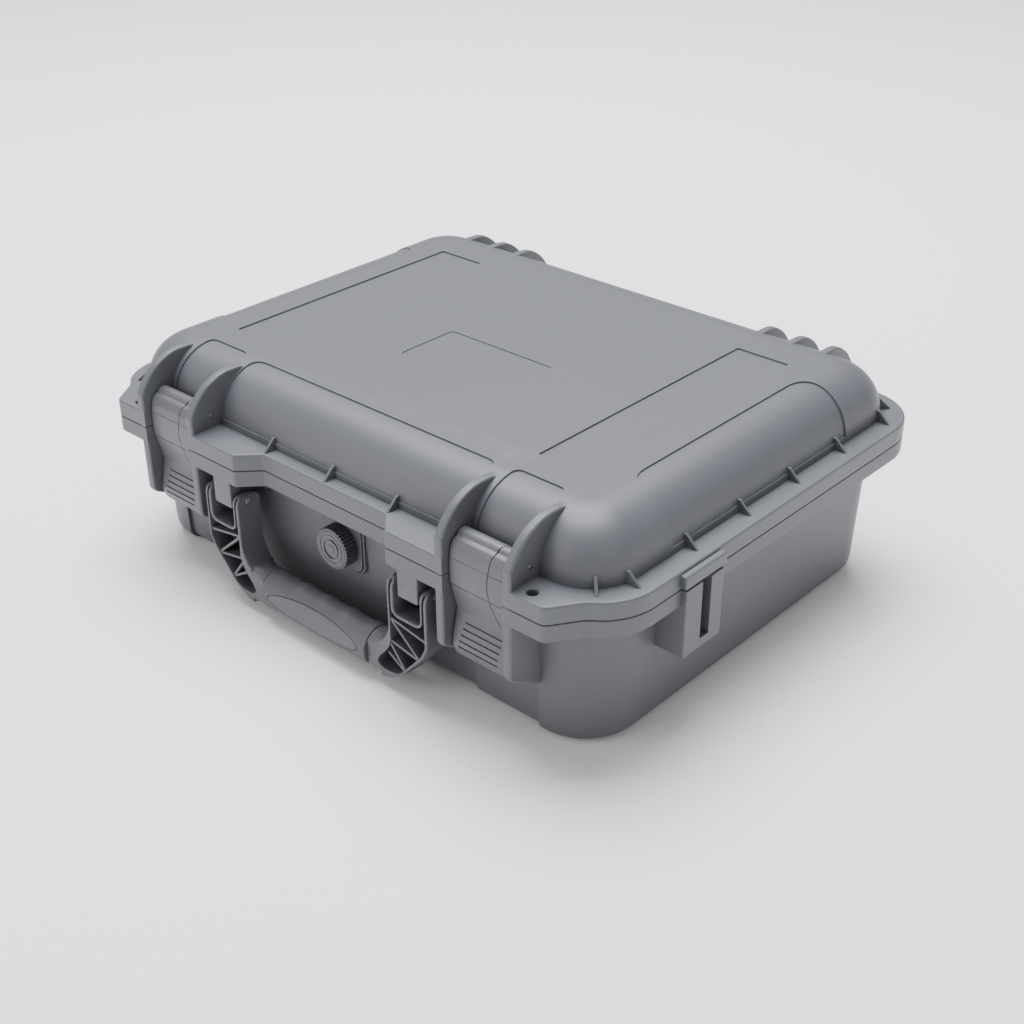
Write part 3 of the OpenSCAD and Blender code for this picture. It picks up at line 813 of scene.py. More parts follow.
@dataclass
class Palette:
    """Every finish of the case, built once."""

    effects: Effects = field(default_factory=Effects)

    def __post_init__(self) -> None:
        """Builds the materials."""
        pale = (0.150, 0.154, 0.170)
        self.lid = MouldedFinish("lid_plastic", (0.092, 0.094, 0.107), pale, 0.46).material(self.effects)
        self.base = MouldedFinish("base_plastic", (0.090, 0.091, 0.102), pale, 0.5).material(self.effects)
        self.latch = MouldedFinish("latch_plastic", (0.080, 0.081, 0.090), pale, 0.42,
                                   grain_depth=0.12).material(self.effects)
        self.handle = MouldedFinish("handle_plastic", (0.083, 0.084, 0.093), pale, 0.45,
                                    grain_depth=0.15).material(self.effects)
        self.grip = MouldedFinish("grip_rubber", (0.076, 0.077, 0.085), (0.11, 0.112, 0.12), 0.56,
                                  grain_depth=0.3).material(self.effects)
        self.valve = MouldedFinish("valve_plastic", (0.074, 0.075, 0.083), pale, 0.45,
                                   grain_depth=0.12).material(self.effects)
        self.seal = MouldedFinish("seal_rubber", (0.012, 0.012, 0.013), (0.03, 0.03, 0.03), 0.6,
                                  wear=0.2).material(self.effects)
        self.membrane = MouldedFinish("membrane", (0.7, 0.7, 0.69), (0.75, 0.75, 0.74), 0.75,
                                      wear=0.1).material(self.effects)
        self.steel = MouldedFinish("pin_steel", (0.55, 0.56, 0.58), (0.7, 0.7, 0.7), 0.3, metallic=1.0,
                                   grain_depth=0.05).material(self.effects)
        self.foam = FoamFinish("foam", (0.022, 0.022, 0.024)).material(self.effects)


# ---------------------------------------------------------------- shared sizes


@dataclass
class CaseSizes:
    """Sizes in mm that the shells and what is on them share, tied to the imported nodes."""

    wall: float = 4.0
    corner_r: float = 40.0
    rim_h: float = 11.0
    rim_r: float = 39.0
    rim_out: float = 14.0
    bump_out: float = 13.0
    part_gap: float = 0.4
    latch_x: float = 130.0
    bay_w: float = 43.1
    guard_t: float = 6.0
    lug_x: float = 80.0
    lug_w: float = 16.0
    hinge_x: float = 129.0
    rib_pitch: float = 23.5
    rib_t: float = 6.0
    knuckle_r: float = 6.5
    padlock_r: float = 3.25
    boss_w: float = 33.5
    slot_w: float = 8.0
    pin_fit: float = 0.12

    def __post_init__(self) -> None:
        """Reads the places that everything hangs on from the frame."""
        low, high = node_box("lid_shell")
        self.half_w = high.x
        self.guard_y = low.y
        self.hinge_back = high.y
        self.top = high.z
        self.hinge_y, self.part_z = side_centre("hinge_pin_right")
        self.base_top = self.part_z - self.part_gap / 2
        self.lid_bottom = self.part_z + self.part_gap / 2
        self.rim_top = self.part_z + self.rim_h
        self.flange_z = self.part_z - self.rim_h
        self.rim_x = self.half_w - 4
        self.rim_front = self.guard_y + self.bump_out
        self.rim_back = self.hinge_back - 7
        self.wall_x = self.rim_x - self.rim_out
        self.wall_front = self.rim_front + self.rim_out
        self.wall_back = self.rim_back - self.rim_out
        self.dome_front = self.rim_front + 9
        self.dome_back = self.rim_back - 12
        self.dome_mid = (self.dome_front + self.dome_back) / 2
        self.dome_r = self.top - self.rim_top
        self.bay_y = self.dome_front - 4.5
        self.boss_y = self.guard_y + 91
        self.slot_y = self.boss_y + 1.5

    def rim_outline(self) -> list[Point]:
        """Plan of both rims with the front bumps and padlock ears, without the latch bays.

        Returns:
            The outline in mm, anticlockwise.
        """
        bump_in = self.lug_x - self.lug_w + 1
        ear_x = self.latch_x + self.bay_w / 2 + self.guard_t + 22
        corner = (self.rim_x - self.rim_r, self.rim_front + self.rim_r)
        back = (self.rim_x - self.rim_r, self.rim_back - self.rim_r)
        right = filleted([(0.0, self.rim_front), (bump_in - self.bump_out, self.rim_front),
                          (bump_in, self.guard_y), (ear_x, self.guard_y),
                          (self.rim_x - self.rim_r + 20, self.rim_front + 5.5),
                          (corner[0] + self.rim_r * math.sqrt(0.5), corner[1] - self.rim_r * math.sqrt(0.5))],
                         [0, 3, 3, 7, 16, 0])
        right += arc(corner, self.rim_r, -44, 0, 9) + arc(back, self.rim_r, 0, 90, 14)
        return right + mirrored(right)[:-1]

    def bay_cutter(self) -> bpy.types.Object:
        """A tall box that opens the right latch bay in a rim."""
        half = self.bay_w / 2
        return box((self.latch_x - half, self.guard_y - 20, -10), (self.latch_x + half, self.bay_y, 200))

    def guard_xs(self) -> tuple[float, float]:
        """Where the middles of the right latch's two guards stand."""
        half = self.guard_t / 2
        return self.latch_x - self.bay_w / 2 - half, self.latch_x + self.bay_w / 2 + half

    def pin_bore(self, node: str) -> bpy.types.Object:
        """A bore along X that a pin just fits, open past both its ends.

        Args:
            node: The pin.

        Returns:
            A loose solid.
        """
        low, high = node_box(node)
        radius = (high.z - low.z) / 2
        return rod(Axis.X, side_centre(node), radius + self.pin_fit, low.x - 1, high.x + 1, steps=32)

    def padlock_cutter(self, top: float) -> bpy.types.Object:
        """The padlock hole, with a small countersink at the top.

        Args:
            top: Level of the face that it opens in.

        Returns:
            A loose solid.
        """
        centre = (self.latch_x + self.bay_w / 2 + self.guard_t / 2 + 11, self.guard_y + 8)
        levels = [(self.flange_z - 5, 0.0), (top - 0.7, 0.0), (top + 0.1, -0.8), (top + 1, -0.8)]
        return stack(circle(centre, self.padlock_r, 40), Axis.Z, levels)


# ---------------------------------------------------------------- lid


@dataclass
class Lid:
    """The moulded lid and its seal."""

    sizes: CaseSizes
    palette: Palette
    recess: float = 1.0
    panel_w: float = 37.5
    panel_margin: float = 20.5
    plate: tuple[float, float] = (86.0, 47.0)
    gusset_t: float = 1.9
    gusset_h: float = 7.5
    dome_corner: float = 32.0
    corner_taper: float = 0.72
    fullness: float = 2.2
    seal_in: float = 2.5
    seal_w: float = 4.0

    def dome(self, depth: float, foot: float) -> bpy.types.Object:
        """The lid's dome, moved in by a depth.

        Args:
            depth: How far inside the outer face it lies.
            foot: Its lowest level.

        Returns:
            A loose solid.
        """
        s = self.sizes
        shoulder = s.dome_r - depth
        power = 2 / self.fullness
        turns = [math.radians(90 * i / 20) for i in range(21)]
        levels = [(foot, 0.0)] + [(s.rim_top + shoulder * math.sin(t) ** power,
                                   shoulder * (1 - max(math.cos(t), 0.0) ** power)) for t in turns]
        rings = []
        for z, inward in levels:
            move = depth + inward
            corner = self.dome_corner - self.corner_taper * move
            plan = plan_rect(s.wall_x - move, s.dome_front + move, s.dome_back - move, corner, 16)
            rings.append([Vector((x, y, z)) for x, y in plan])
        return loft(rings)

    def bands(self) -> list[bpy.types.Object]:
        """Cutters over the shallow recessed bands of the dome's shoulders.

        Returns:
            Loose solids.
        """
        s = self.sizes
        low, high = s.rim_top + 4, s.top + 5
        front, line = s.dome_front - 5, s.dome_front + s.dome_r
        half = s.latch_x - s.bay_w / 2 - s.guard_t - 1
        middle = filleted([(-half, front), (half, front), (half, line - 1), (-half, line - 1)], [0, 0, 9, 9])
        bay = s.bay_w / 2 - 4
        behind = filleted([(s.latch_x - bay, front), (s.latch_x + bay, front), (s.latch_x + bay, line + 1),
                           (s.latch_x - bay, line + 1)], [0, 0, 5, 5])
        reach = 0.253 * (s.hinge_back - s.guard_y)
        side = filleted([(s.wall_x - s.dome_r - 0.5, s.dome_mid - reach), (s.wall_x + 5, s.dome_mid - reach),
                         (s.wall_x + 5, s.dome_mid + reach), (s.wall_x - s.dome_r - 0.5, s.dome_mid + reach)],
                        [17, 0, 0, 17], 8)
        shoulders = [block(outline, Axis.Z, low, high) for outline in (behind, side)]
        return [block(middle, Axis.Z, low, high)] + both(shoulders)

    def top_recesses(self) -> list[bpy.types.Object]:
        """Cutters for the two long panels, the small plate and the wide soft panel on the top.

        Returns:
            Loose solids.
        """
        s = self.sizes
        front = s.dome_front + s.dome_r + self.panel_margin
        back = s.dome_back - s.dome_r - self.panel_margin
        inner = s.wall_x - s.dome_r - 16.5 - self.panel_w
        floor = s.top - self.recess
        long_panel = box((inner, front, floor), (inner + self.panel_w, back, s.top + 1), corner=1.2)
        plate_y = s.dome_mid - 51
        half = self.plate[0] / 2
        plate = box((-half, plate_y, floor), (half, plate_y + self.plate[1], s.top + 1), corner=4)
        wide = plan_rect(inner - 19, front + 1.5, back, 10, 8)
        soft = stack(wide, Axis.Z, [(s.top - 0.45, 1.6), (s.top + 0.05, 0.0), (s.top + 1, 0.0)])
        return both([long_panel]) + [soft, plate]

    def guards(self) -> list[bpy.types.Object]:
        """The tall plates on both sides of the right latch.

        Returns:
            Loose solids.
        """
        s = self.sizes
        crest = smooth_line([(s.guard_y, s.top - 22.8), (s.guard_y + 4, s.top - 15.8),
                             (s.guard_y + 11.5, s.top - 7.6), (s.guard_y + 20, s.top - 2.7),
                             (s.guard_y + 29, s.top - 0.1), (s.guard_y + 40, s.top - 0.1)], 5)
        foot = [(s.guard_y + 55, s.top - 3), (s.guard_y + 55, s.lid_bottom), (s.guard_y, s.lid_bottom)]
        outline = list(reversed(crest + foot))
        half = s.guard_t / 2
        return [block(outline, Axis.X, x - half, x + half, 1.5)
                for x in s.guard_xs()]

    def gusset(self, x: float, y: float, angle: float) -> bpy.types.Object:
        """One thin triangular rib between the dome and the rim.

        Args:
            x: Where the dome's wall stands at the rib.
            y: The same, front to back.
            angle: Which way the rib points, in degrees from +X.

        Returns:
            A loose solid.
        """
        s = self.sizes
        foot, tip = s.rim_top - 1, s.rim_top + self.gusset_h
        outline = filleted([(-s.wall, foot), (8, foot), (8, s.rim_top), (0.3, tip), (-s.wall + 1, tip)],
                           [0, 0, 0, 0.8, 0], 3)
        half = self.gusset_t / 2
        rib = block(outline, Axis.Y, -half, half, 0.55)
        rib.data.transform(Matrix.Translation((x, y, 0)) @ Matrix.Rotation(math.radians(angle), 4, "Z"))
        return rib

    def gussets(self) -> list[bpy.types.Object]:
        """All ribs round the dome.

        Returns:
            Loose solids.
        """
        s = self.sizes
        pitch = (s.dome_back - s.dome_front - 50) / 5
        corner = self.dome_corner * (1 - math.sqrt(0.5))
        right = [self.gusset(s.wall_x, s.dome_mid + (i - 2.5) * pitch, 0) for i in range(6)]
        right += [self.gusset(s.lug_x - 27.5, s.dome_front, -90),
                  self.gusset(s.wall_x - corner, s.dome_front + corner, -45),
                  self.gusset(s.wall_x - corner, s.dome_back - corner, 45)]
        return both(right) + [self.gusset(0, s.dome_front, -90)]

    def hinge_ribs(self) -> list[bpy.types.Object]:
        """The three curved ribs of the right hinge.

        Returns:
            Loose solids.
        """
        s = self.sizes
        crest = smooth_line([(s.dome_back - s.dome_r, s.top - 0.6), (s.dome_back - s.dome_r / 3, s.top - 1),
                             (s.dome_back, s.top - 6), (s.rim_back - 4, s.top - 14),
                             (s.hinge_y + 2, s.top - 26), (s.hinge_y + s.knuckle_r, s.part_z + 4)], 5)
        knuckle = arc((s.hinge_y, s.part_z), s.knuckle_r, 0, -90, 8)
        outline = crest + knuckle + [(s.hinge_y - 2, s.lid_bottom), (s.dome_back - s.dome_r, s.lid_bottom)]
        half = s.rib_t / 2
        return [block(list(reversed(outline)), Axis.X, x - half, x + half, 1.3)
                for x in (s.hinge_x - s.rib_pitch, s.hinge_x, s.hinge_x + s.rib_pitch)]

    def shell(self) -> bpy.types.Object:
        """Builds the lid's shell.

        Returns:
            The finished piece.
        """
        s = self.sizes
        outer = cut(self.dome(0, s.lid_bottom), self.bands())
        rim = block(s.rim_outline(), Axis.Z, s.lid_bottom, s.rim_top, 1.3, 0.55)
        tab = box((s.rim_x - 2, s.boss_y - s.boss_w / 2 - 1.5, s.lid_bottom + 1),
                  (s.half_w, s.boss_y + s.boss_w / 2 + 1.5, s.lid_bottom + 9), 1.0, 1.0)
        rim = cut(rim, both([s.bay_cutter()]))
        fittings = self.guards() + self.hinge_ribs() + [tab]
        union(outer, [self.dome(self.recess, s.lid_bottom), rim] + both(fittings))
        union(outer, self.gussets())
        cut(outer, self.top_recesses() + [self.dome(s.wall, s.lid_bottom - 5), self.seal_ring(0.1, 5.0, 5.0)])
        ears = [rod(Axis.X, (s.hinge_y, s.part_z), s.knuckle_r + 0.5, x - 8.75, x + 8.75)
                for x in (s.hinge_x - s.rib_pitch / 2, s.hinge_x + s.rib_pitch / 2)]
        bores = [s.pin_bore("latch_right_lever_pin"), s.pin_bore("hinge_pin_right")]
        cut(outer, both([s.padlock_cutter(s.rim_top)] + ears + bores))
        return placed(dressed(outer, "lid_moulding", self.palette.lid), "lid", "lid_plastic", "lid_shell")

    def seal_ring(self, grow: float, below: float, height: float) -> bpy.types.Object:
        """The seal, or the groove for it.

        Args:
            grow: How much wider than the seal on each side.
            below: How far it starts below the lid's lower face.
            height: How far it reaches above that face.

        Returns:
            A loose solid.
        """
        s = self.sizes
        inner_x, corner = s.wall_x - s.wall + self.seal_in, self.dome_corner - s.wall + self.seal_in
        front, back = s.dome_front + s.wall - self.seal_in, s.dome_back - s.wall + self.seal_in
        low, high = s.lid_bottom - below, s.lid_bottom + height
        wide = self.seal_w
        outer = plan_rect(inner_x + wide + grow, front - wide - grow, back + wide + grow,
                          corner + wide + grow)
        inner = plan_rect(inner_x - grow, front + grow, back - grow, corner - grow)
        ring = block(outer, Axis.Z, low, high, 0.0 if grow else 0.9)
        return cut(ring, [block(inner, Axis.Z, low - 5, high + 5)])

    def build(self) -> None:
        """Builds the shell and the seal."""
        self.shell()
        seal = dressed(self.seal_ring(0.0, 0.05, 4.9), "lid_seal_ring", self.palette.seal)
        placed(seal, "lid", "seal_rubber", "lid_seal")


# ---------------------------------------------------------------- base


@dataclass
class Base:
    """The moulded base with its guards, lugs, ears and strap bosses."""

    sizes: CaseSizes
    palette: Palette
    draft: float = 3.5
    floor_r: float = 10.0
    bay_step: float = 2.5
    corner_step: float = 5.0
    guard_low: float = 50.0
    guard_slope: float = 14.0
    step_soft: float = 1.4

    def tray(self, depth: float, step: float, top: float) -> bpy.types.Object:
        """A drafted block over a rounded floor edge.

        Args:
            depth: How far inside the outer face it lies.
            step: How far its front wall stands forward.
            top: Its highest level.

        Returns:
            A loose solid.
        """
        s = self.sizes
        outline = plan_rect(s.wall_x - depth, s.wall_front + depth - step, s.wall_back - depth,
                            s.corner_r - depth, 16)
        edge = self.floor_r - depth
        turns = [math.radians(90 * i / 8) for i in range(9)]
        levels = [(depth + edge * (1 - math.cos(t)), self.draft + edge * (1 - math.sin(t))) for t in turns]
        return stack(outline, Axis.Z, levels + [(top, 0.0)])

    def stepped_wall(self, step: float, from_x: float) -> bpy.types.Object:
        """The part of a forward block that lies outside a distance from the middle.

        Args:
            step: How far its front wall stands forward.
            from_x: Where it starts on both sides.

        Returns:
            A loose solid of two halves.
        """
        s = self.sizes
        whole = self.tray(0, step, s.base_top)
        gap = box((-from_x, -400, -20), (from_x, 400, 300))
        halves = cut(whole, [gap])
        mesh = bmesh.new()
        mesh.from_mesh(halves.data)
        reach = s.wall_front + 30
        outer = []
        for edge in mesh.edges:
            ends = [vert.co for vert in edge.verts]
            on_cut = all(abs(abs(end.x) - from_x) < 0.01 and end.y < reach for end in ends)
            upright = abs(ends[0].z - ends[1].z) > 1e-4
            outside = max(end.z for end in ends) > 0.5 and min(abs(end.y) for end in ends) > 100
            if on_cut and upright and outside:
                outer.append(edge)
        bmesh.ops.bevel(mesh, geom=outer, offset=self.step_soft, segments=3, profile=0.5, affect="EDGES",
                        clamp_overlap=True)
        mesh.to_mesh(halves.data)
        mesh.free()
        return halves

    def guards(self) -> list[bpy.types.Object]:
        """The plates on both sides of the right latch, below the rim.

        Returns:
            Loose solids.
        """
        s = self.sizes
        low, foot = self.guard_low, self.guard_low - self.guard_slope
        outline = filleted([(s.wall_front + 6, s.flange_z + 2), (s.guard_y, s.flange_z + 2), (s.guard_y, low),
                            (s.wall_front - 2, foot), (s.wall_front + 6, foot)], [0, 0, 6, 3, 0])
        half = s.guard_t / 2
        return [block(outline, Axis.X, x - half, x + half, 1.5)
                for x in s.guard_xs()]

    def guard_feet(self) -> list[bpy.types.Object]:
        """The guards' continuation through the rim up to the parting line, on the right.

        Returns:
            Loose solids.
        """
        s = self.sizes
        half, back = s.guard_t / 2, s.wall_front + 5
        return [box((x - half, s.guard_y, s.flange_z - 1), (x + half, back, s.base_top), 0.35, 1.4)
                for x in s.guard_xs()]

    def lug(self) -> bpy.types.Object:
        """The block under the rim that carries the right arm of the handle.

        Returns:
            A loose solid.
        """
        s = self.sizes
        pivot_y, pivot_z = side_centre("handle_pin_right")
        half = s.lug_w / 2
        low, high = pivot_z - 5.5, s.flange_z + 2
        outline = filleted([(s.lug_x - half, high), (s.lug_x - half, low), (s.lug_x + half, low),
                            (s.lug_x + half, high)], [0, 1.8, 1.8, 0])
        lug = block(outline, Axis.Y, s.guard_y + 1, s.wall_front + 3, 0.8)
        slot = box((s.lug_x - half - 1, pivot_y + 10, pivot_z - 8),
                   (s.lug_x + half + 1, s.wall_front + 0.2, s.flange_z - 3))
        return cut(lug, [slot])

    def strap_boss(self) -> bpy.types.Object:
        """The boss on the right side that takes a strap's end.

        Returns:
            A loose solid.
        """
        s = self.sizes
        boss = box((s.wall_x - 12, s.boss_y - s.boss_w / 2, s.part_z - 43),
                   (s.half_w - 0.5, s.boss_y + s.boss_w / 2, s.base_top), 0.8, 1.0)
        return cut(boss, self.slot_cutters())

    def slot_cutters(self) -> list[bpy.types.Object]:
        """The strap slot's mouth, and the wider room behind it.

        Returns:
            Loose solids.
        """
        s = self.sizes
        low, floor_x = s.part_z - 37, s.wall_x + 2
        return [box((floor_x, s.slot_y - half, low), (out_x, s.slot_y + half, s.part_z + 2))
                for half, out_x in ((s.slot_w / 2, s.half_w + 5), (s.slot_w, s.half_w - 6.5))]

    def hinge_ears(self) -> list[bpy.types.Object]:
        """The two knuckles of the right hinge with their shelf.

        Returns:
            Loose solids.
        """
        s = self.sizes
        half = (s.rib_pitch - s.rib_t - 1) / 2
        inner, low = s.rim_back - 6, s.flange_z - 10
        outline = [(inner, s.base_top), (inner, low), (s.rim_back - 4, low),
                   (s.hinge_y + s.knuckle_r - 0.6, s.part_z - 7)]
        outline += arc((s.hinge_y, s.part_z), s.knuckle_r, -20, 165, 16)
        ears = [block(outline, Axis.X, x - half, x + half, 1.0)
                for x in (s.hinge_x - s.rib_pitch / 2, s.hinge_x + s.rib_pitch / 2)]
        shelf = box((s.hinge_x - s.rib_pitch, s.wall_back - 4, s.flange_z - 10),
                    (s.hinge_x + s.rib_pitch, s.rim_back - 2, s.flange_z + 1), 0.8)
        return ears + [shelf]

    def shell(self) -> bpy.types.Object:
        """Builds the base's shell.

        Returns:
            The finished piece.
        """
        s = self.sizes
        rim = cut(block(s.rim_outline(), Axis.Z, s.flange_z, s.base_top, 0.55, 1.2), both([s.bay_cutter()]))
        shell = self.tray(0, 0, s.base_top)
        zones = [self.stepped_wall(self.bay_step, s.latch_x - s.bay_w / 2 - 3),
                 self.stepped_wall(self.corner_step, s.latch_x + s.bay_w / 2 + s.guard_t / 2)]
        parts = self.guards() + self.guard_feet() + self.hinge_ears() + [self.lug(), self.strap_boss()]
        union(shell, zones + [rim] + both(parts))
        sweeps = []
        for i in (-1, 0, 1):
            x, half = s.hinge_x + i * s.rib_pitch, s.rib_t / 2
            low, high = x - half - 0.5, x + half + 0.5
            sweeps.append(rod(Axis.X, (s.hinge_y, s.part_z), s.knuckle_r + 0.5, low, high))
        cavity = self.tray(s.wall, 0, s.base_top + 1)
        sweeps += [s.pin_bore("hinge_pin_right"), s.pin_bore("handle_pin_right")]
        cut(shell, [cavity] + both(sweeps + self.slot_cutters() + [s.padlock_cutter(s.base_top + 3)]))
        centre = front_centre("valve_nut")
        union(shell, [self.valve_frame(centre)])
        cut(shell, [rod(Axis.Y, centre, 6.05, s.wall_front - 10, s.wall_front + 15)])
        dressed(shell, "base_moulding", self.palette.base)
        return placed(shell, "base", "base_plastic", "base_shell")

    def valve_frame(self, centre: Point) -> bpy.types.Object:
        """The raised frame round the valve's plate.

        Args:
            centre: The valve's middle as x and z.

        Returns:
            A loose solid.
        """
        s = self.sizes
        low, high = node_box("valve_body")
        half = (high.x - low.x) / 2
        plans = [plan_rect(half + wide, -half - wide, half + wide, corner)
                 for wide, corner in ((1.7, 7.5), (0.65, 6.6))]
        outer, inner = ([(x, z + centre[1]) for x, z in plan] for plan in plans)
        ring = block(outer, Axis.Y, s.wall_front - 0.5, s.wall_front + 3, 0.0, 0.5)
        return cut(ring, [block(inner, Axis.Y, s.wall_front - 3, s.wall_front + 0.65)])

    def build(self) -> None:
        """Builds the base."""
        self.shell()


# ---------------------------------------------------------------- handle


@dataclass
class Handle:
    """The swinging handle: two forked arms, a bar between them and a soft grip with an inlay."""

    palette: Palette
    prong_t: float = 5.0
    skin: float = 1.75
    web: float = 5.0
    rib_t: float = 1.7
    drop: float = 1.5
    grip_r: float = 11.9
    grip_tall: float = 1.06
    grip_low: float = 1.2
    oval_half: tuple[float, float] = (39.6, 7.4)
    grip_end: float = 0.7
    elbow: float = 11.2
    bar_half: float = 6.0
    dent_depth: float = 0.85
    dent_half: float = 7.6
    dents: tuple[float, ...] = (-30.0, -10.0, 10.0, 30.0)

    def __post_init__(self) -> None:
        """Reads the handle's places from the frame."""
        low, high = node_box("handle_frame")
        self.out_x, self.front, self.back = high.x, low.y, high.y
        self.low, self.top = low.z - self.drop, high.z
        self.pivot = side_centre("handle_pin_right")
        self.in_x = node_box("handle_pin_right")[0].x
        self.grip_half = node_box("handle_grip")[1].x
        self.grip_z = side_centre("handle_grip")[1]
        self.slot = (self.in_x + self.prong_t, self.out_x - self.prong_t)
        self.slot_floor = self.pivot[1] - 17.5

    def arm_outline(self) -> list[Point]:
        """The right arm seen from the front, fork above and bend below.

        Returns:
            The outline as x and z.
        """
        z, tip = self.grip_z, self.top
        points = [(self.grip_half, self.low), (self.in_x - 2, self.low), (self.in_x + 10, z - 5),
                  (self.out_x - 4, z + 14), (self.out_x, z + 22), (self.out_x, tip), (self.slot[1], tip),
                  (self.slot[1], self.slot_floor), (self.slot[0], self.slot_floor), (self.slot[0], tip),
                  (self.in_x, tip), (self.in_x, z + 22), (self.in_x - 6, z + self.elbow),
                  (self.grip_half, z + self.elbow)]
        tip_r = self.prong_t / 2 - 0.05
        radii = [0, 20, 14, 12, 9, tip_r, tip_r, 4.5, 4.5, tip_r, tip_r, 16, 7, 0]
        return filleted(points, radii, 7)

    def side_profile(self) -> list[Point]:
        """The arms seen from the side, round at the top.

        Returns:
            The outline as y and z.
        """
        return filleted([(self.front, -5), (self.back, -5), (self.back, self.top), (self.front, self.top)],
                        [0, 0, 8.2, 8.2], 10)

    def shoulder(self) -> bpy.types.Object:
        """The round stretch between the grip's end and the arm.

        Returns:
            A loose solid.
        """
        rings = []
        stations = [(0.15, 11.3, 12.0, 2.0, -1.2), (0.6, 11.8, 12.5, 2.0, -1.2), (2, 11.7, 12.5, 2.05, -1.2),
                    (4, 11.2, 12.4, 2.2, -1.1), (6, 10.5, 12.3, 2.5, -0.9), (8, 9.8, 12.3, 3.0, -0.7),
                    (10, 9.3, 12.5, 4.2, -0.6), (12, 9.05, 12.55, 7.0, -0.5), (13.5, 9.0, 12.5, 9.0, -0.4)]
        for out, half_y, half_z, square, lift in stations:
            x = self.grip_half + out
            ring = []
            for i in range(48):
                t = 2 * math.pi * i / 48
                c, n = math.cos(t), math.sin(t)
                y = self.pivot[0] + half_y * math.copysign(abs(c) ** (2 / square), c)
                z = self.grip_z + lift + half_z * math.copysign(abs(n) ** (2 / square), n)
                ring.append(Vector((x, y, z)))
            rings.append(ring)
        return loft(rings)

    def ribs(self) -> list[bpy.types.Object]:
        """The zigzag ribs in the right arm's pocket.

        Returns:
            Loose solids.
        """
        z = self.grip_z
        a, b = (self.in_x + 1, self.slot_floor - 4.6), (self.out_x - 1, self.slot_floor - 9.5)
        c, d = (self.out_x - 7, z + 11), (self.in_x - 1.2, z + 15.5)
        e, f = (self.in_x + 12.8, z - 2.4), (self.in_x - 1.5, z + 6.2)
        back = self.back - self.web + 0.5
        return [block(ribbon([p, q], self.rib_t), Axis.Y, self.front + 0.7, back, 0.0, 0.4)
                for p, q in ((a, b), (a, c), (c, d), (d, e), (e, f))]

    def frame(self) -> bpy.types.Object:
        """Builds the two arms and the bar.

        Returns:
            The finished piece.
        """
        outline = self.arm_outline()
        arm = block(outline, Axis.Y, self.front, self.back, 0.95)
        cut(arm, [box((-10, self.front - 5, -10), (self.grip_half + self.elbow, self.back + 5, 40))])
        union(arm, [self.shoulder()])
        pocket = stack(outline, Axis.Y, [(self.front - 1, self.skin - 0.35), (self.front + 0.5, self.skin),
                                         (self.back - self.web, self.skin + 0.15)])
        x, z = self.in_x, self.grip_z
        lobe = smooth_line([(x + 1.7, z + 80), (x + 1.7, z + 24.5), (x + 1.9, z + 18), (x + 0.3, z + 11.5),
                            (x - 4, z + 5.3), (x - 8.3, z + 0.5), (x - 9.8, z - 3.7), (x - 7.2, z - 6.2),
                            (x - 1.5, z - 6.8), (x + 4.5, z - 5.9), (x + 9.5, z - 3.7)], 4)
        lobe += [(x + 60, z - 9.5), (x + 60, z + 80)]
        combine(pocket, [block(lobe, Axis.Y, self.front - 5, self.back)], "INTERSECT")
        cut(arm, [pocket])
        union(arm, self.ribs())
        combine(arm, [block(self.side_profile(), Axis.X, 0, self.out_x + 5)], "INTERSECT")
        bore = rod(Axis.X, self.pivot, 2.35, self.in_x - 5, self.out_x + 5)
        cut(arm, [bore])
        twin = both([arm])[1]
        thick = self.bar_half
        bar = box((-self.grip_half - 2, self.pivot[0] - thick, self.grip_z - thick),
                  (self.grip_half + 2, self.pivot[0] + thick, self.grip_z + thick), 0.5)
        union(arm, [bar, twin])
        dressed(arm, "handle_arms", self.palette.handle)
        return placed(arm, "handle", "handle_plastic", "handle_frame")

    def sleeve(self) -> bpy.types.Object:
        """The grip's sleeve with rounded ends and shallow finger dents.

        Returns:
            A loose solid.
        """
        rings = []
        length = self.grip_half - 0.1
        ends = [self.grip_end * (1 - math.cos(math.radians(a))) for a in (0, 30, 60, 90)]
        between = 2 * length - 2.4
        stations = [-length + e for e in ends] + [-length + 1.2 + between * i / 90 for i in range(91)]
        stations += [length - e for e in reversed(ends)]
        for x in stations:
            near_end = min(length - abs(x), self.grip_end) / self.grip_end
            ring = []
            for i in range(72):
                t = 2 * math.pi * i / 72
                top = max(0.0, math.cos(t - math.radians(60))) ** 1.5
                dent = sum(math.exp(-((x - middle) / self.dent_half) ** 6) for middle in self.dents)
                radius = self.grip_r - self.grip_end * (1 - math.sqrt(max(0.0, 1 - (1 - near_end) ** 2)))
                radius += 0.1 - self.dent_depth * dent * top
                y = self.pivot[0] + radius * math.cos(t)
                tall = radius * math.sin(t) * self.grip_tall
                ring.append(Vector((x, y, self.grip_z - self.grip_low + tall)))
            rings.append(ring)
        return loft(rings)

    def oval(self, grow: float, floor_r: float) -> bpy.types.Object:
        """The oval prism at the grip's front, hollow behind.

        Args:
            grow: How much larger than the inlay it is.
            floor_r: Radius of the round floor that it ends on.

        Returns:
            A loose solid.
        """
        wide, tall = (half + grow for half in self.oval_half)
        turns = [2 * math.pi * i / 96 for i in range(96)]
        points = [(wide * math.cos(t), self.grip_z - 0.4 + tall * math.sin(t)) for t in turns]
        prism = block(points, Axis.Y, self.front - 10, self.pivot[0])
        return cut(prism, [rod(Axis.X, (self.pivot[0], self.grip_z), floor_r, -60, 60, steps=64)])

